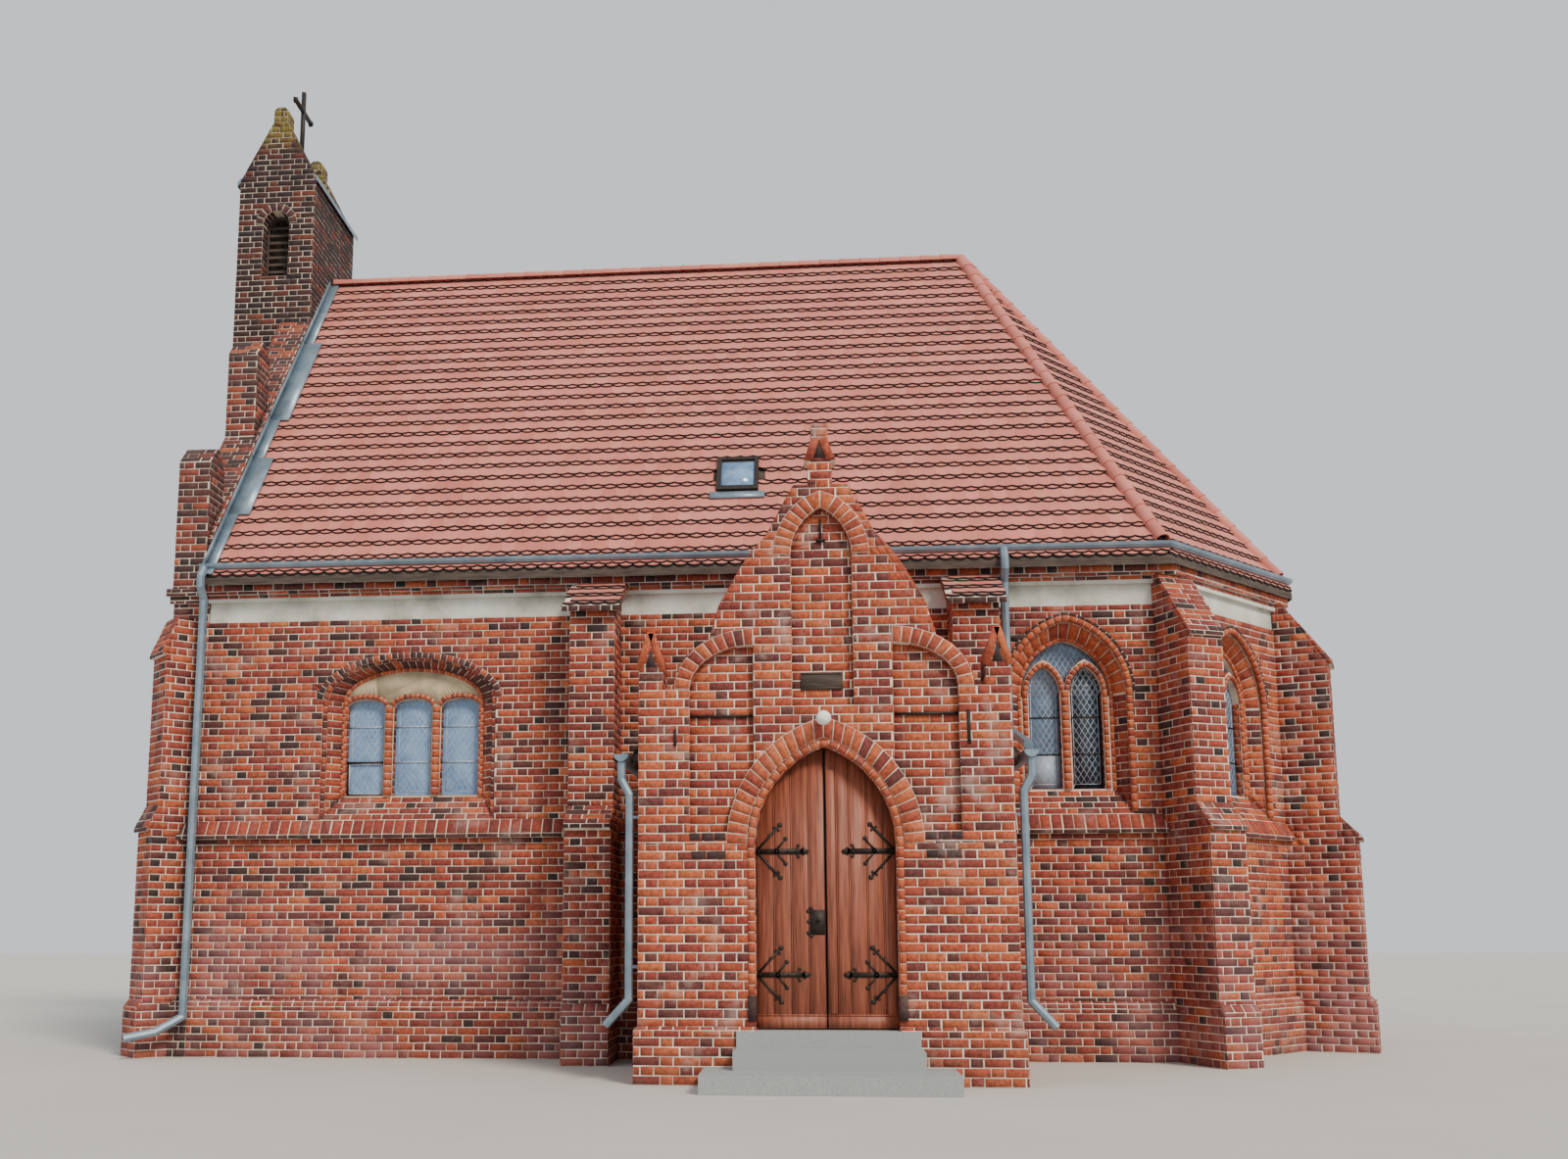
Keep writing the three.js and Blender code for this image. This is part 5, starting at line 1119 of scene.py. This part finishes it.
# Cross of square iron bar, its arms north and south
cross = Stock()
(west_side, south_end, cross_foot), (east_side, north_end, cross_top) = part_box("tower_cross")
middle_x, middle_y = (west_side + east_side) / 2, (south_end + north_end) / 2
upright = Place((middle_x, middle_y, 0), (0, 1, 0))
cross.block(upright, -0.032, 0.032, cross_foot, cross_top, -0.032, 0.032, chamfer=0.006)
cross.block(upright, south_end - middle_y, north_end - middle_y, 15.868, 15.932, -0.030, 0.030, chamfer=0.006)
for tip in (south_end - middle_y + 0.03, north_end - middle_y - 0.03):
    cross.block(upright, tip - 0.03, tip + 0.03, 15.855, 15.945, -0.036, 0.036, chamfer=0.01)
cross.piece("forged_cross", iron, slot="iron", replaced=["tower_cross"])

# Skylight pane and its zinc apron, on the south roof plane
south_plane = roof_place(corners[0], corners[1], apex)
pane = Stock()
pane.block(south_plane, 7.41 - verge, 7.87 - verge, 1.66, 2.19, PANE_LIFT - 0.004, PANE_LIFT + 0.004,
           chamfer=0.002)
pane.piece("skylight_pane", glass, slot="leaded_glass")
apron = Stock()
apron.block(south_plane, 7.26 - verge, 8.02 - verge, 1.40, 1.53, 0.030, 0.056, chamfer=0.004)
apron.piece("skylight_apron", zinc, slot="zinc")

# Zinc flashing where the tiles meet the gable, in lapped lengths, turned up against the wall
flashing = Stock()
north_plane = roof_place(corners[4], corners[5], ridge_west)
end = north_plane.flat([corners[5]])[0][0]
LENGTHS = ((0.02, 1.32, 0.10), (1.30, 2.64, 0.26), (2.60, 3.66, 0.11), (3.62, 5.80, 0.24), (5.75, 7.66, 0.10))
for foot, top, wide in LENGTHS:
    flashing.block(south_plane, -0.04, wide, foot, top, 0.048, 0.066 + wide * 0.02, chamfer=0.003)
    flashing.block(south_plane, -0.048, -0.036, foot, top, 0.05, 0.150, chamfer=0.002)
    flashing.block(north_plane, end - wide, end + 0.04, foot, top, 0.048, 0.066 + wide * 0.02, chamfer=0.003)
    flashing.block(north_plane, end + 0.036, end + 0.048, foot, top, 0.05, 0.150, chamfer=0.002)
flashing.piece("gable_flashing", zinc, slot="zinc")

# Caps over the ridge and the hips: tapered half rounds, each one over the head of the last
def cap_run(stock, start, end, radius=0.105, pitch=0.33, lap=0.03):
    way = (end - start).normalized()
    side = way.cross(UP).normalized()
    top = side.cross(way)
    count = round((end - start).length / pitch)
    step = (end - start).length / count
    for i in range(count):
        foot = start + way * (step * i)
        rings = []
        for along, outer in ((0.0, radius), (lap, radius), (lap, radius * 0.97), (step + lap, radius * 0.86)):
            ring = []
            for r in (outer, outer - 0.014):
                angles = [math.radians(-12 + 204 * k / 9) for k in range(10)]
                if r != outer:
                    angles = angles[::-1]
                ring += [foot + way * along + side * r * math.cos(a) + top * (r * math.sin(a) * 0.92)
                         for a in angles]
            rings.append(ring)
        stock.loft(rings, chance.random() * 0.9)


caps = Stock()
CAP_LIFT = 0.03
cap_run(caps, ridge_west + UP * CAP_LIFT, apex + UP * CAP_LIFT)
for x, y in eaves[1:5]:
    cap_run(caps, apex.lerp(at(x, y, EAVE_Z), 0.965) + UP * CAP_LIFT, apex + UP * CAP_LIFT)
caps.piece("ridge_and_hip_caps", tile, slot="roof_tile", replaced=["ridge_and_hip_tiles"], smooth=True)

# Finishes of the solids themselves; panes that aren't named here take the plain glass
FINISHES = {
    **dict.fromkeys(MASONRY, mortar), **dict.fromkeys(NAVE_NODES + APSE_NODES, wall_mortar),
    # The roof solids under the tiles take the dark boards: painted shade where their edges show under the
    # eaves
    **dict.fromkeys(("porch_roof", "nave_roof_south", "nave_roof_north", "apse_roof"), grey_wood),
    **dict.fromkeys(("west_gable_wall", "bell_tower"), old_mortar),
    "ridge_and_hip_tiles": tile, "entrance_steps": granite, "floor": floor_stone, "tower_cross": iron,
    "roof_skylight": iron, "turret_roof": zinc, "louvers_south": grey_wood, "louvers_north": grey_wood,
    # The leaves behind the boards are painted shade where they show in the seams
    "door_leaf_west": seam_wood, "door_leaf_east": seam_wood, "porch_lamp": opal,
    **dict.fromkeys(("glass_south_pointed", "glass_southeast", "glass_east", "glass_northeast"), dim_glass),
    **dict.fromkeys(("gutter_south", "gutter_north", "porch_gutter_west", "porch_gutter_east"), zinc),
}
for name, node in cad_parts.items():
    node.data.materials.clear()
    node.data.materials.append(FINISHES.get(name, glass))

# Stage: a pale floor and soft light
ground = bpy.data.meshes.new("studio_floor")
ground.from_pydata([(-90, -90, 0), (90, -90, 0), (90, 90, 0), (-90, 90, 0)], [], [(0, 1, 2, 3)])
stage = bpy.data.objects.new("studio_floor", ground)
bpy.context.scene.collection.objects.link(stage)
ground.materials.append(plain_finish("pale_studio_floor", 0.9, "#bdbab4", "#c4c1bb", 3000, bump_mm=0.1))
stage.location.z = -0.002

world = bpy.data.worlds.new("studio")
bpy.context.scene.world = world
world.use_nodes = True
world.node_tree.nodes["Background"].inputs["Color"].default_value = linear("#e6ebf0")
world.node_tree.nodes["Background"].inputs["Strength"].default_value = 1.02

sun = bpy.data.lights.new("key_light", "SUN")
sun.energy = 3.3
sun.angle = math.radians(14)
sun.color = linear("#fff3e2")[:3]
key = bpy.data.objects.new("key_light", sun)
key.rotation_euler = Vector((0.80, -1.0, 1.15)).to_track_quat("Z", "Y").to_euler()
bpy.context.scene.collection.objects.link(key)

# The camera stands where the photograph was taken from, south of the porch
EYE = at(8.558, -17.847, 1.577)
LOOK = Vector((-0.08279, 0.98585, 0.14575))
TILT = math.radians(0.085)
lens = bpy.data.cameras.new("camera")
lens.sensor_width = 36
lens.lens = 31.99
lens.shift_x = 0.0589
lens.shift_y = 0.0943
lens.clip_end = 300
camera = bpy.data.objects.new("camera", lens)
camera.matrix_world = Matrix.Translation(EYE) @ (LOOK.to_track_quat("-Z", "Y").to_matrix().to_4x4()
                                                 @ Matrix.Rotation(-TILT, 4, "Z"))
bpy.context.scene.collection.objects.link(camera)
bpy.context.scene.camera = camera
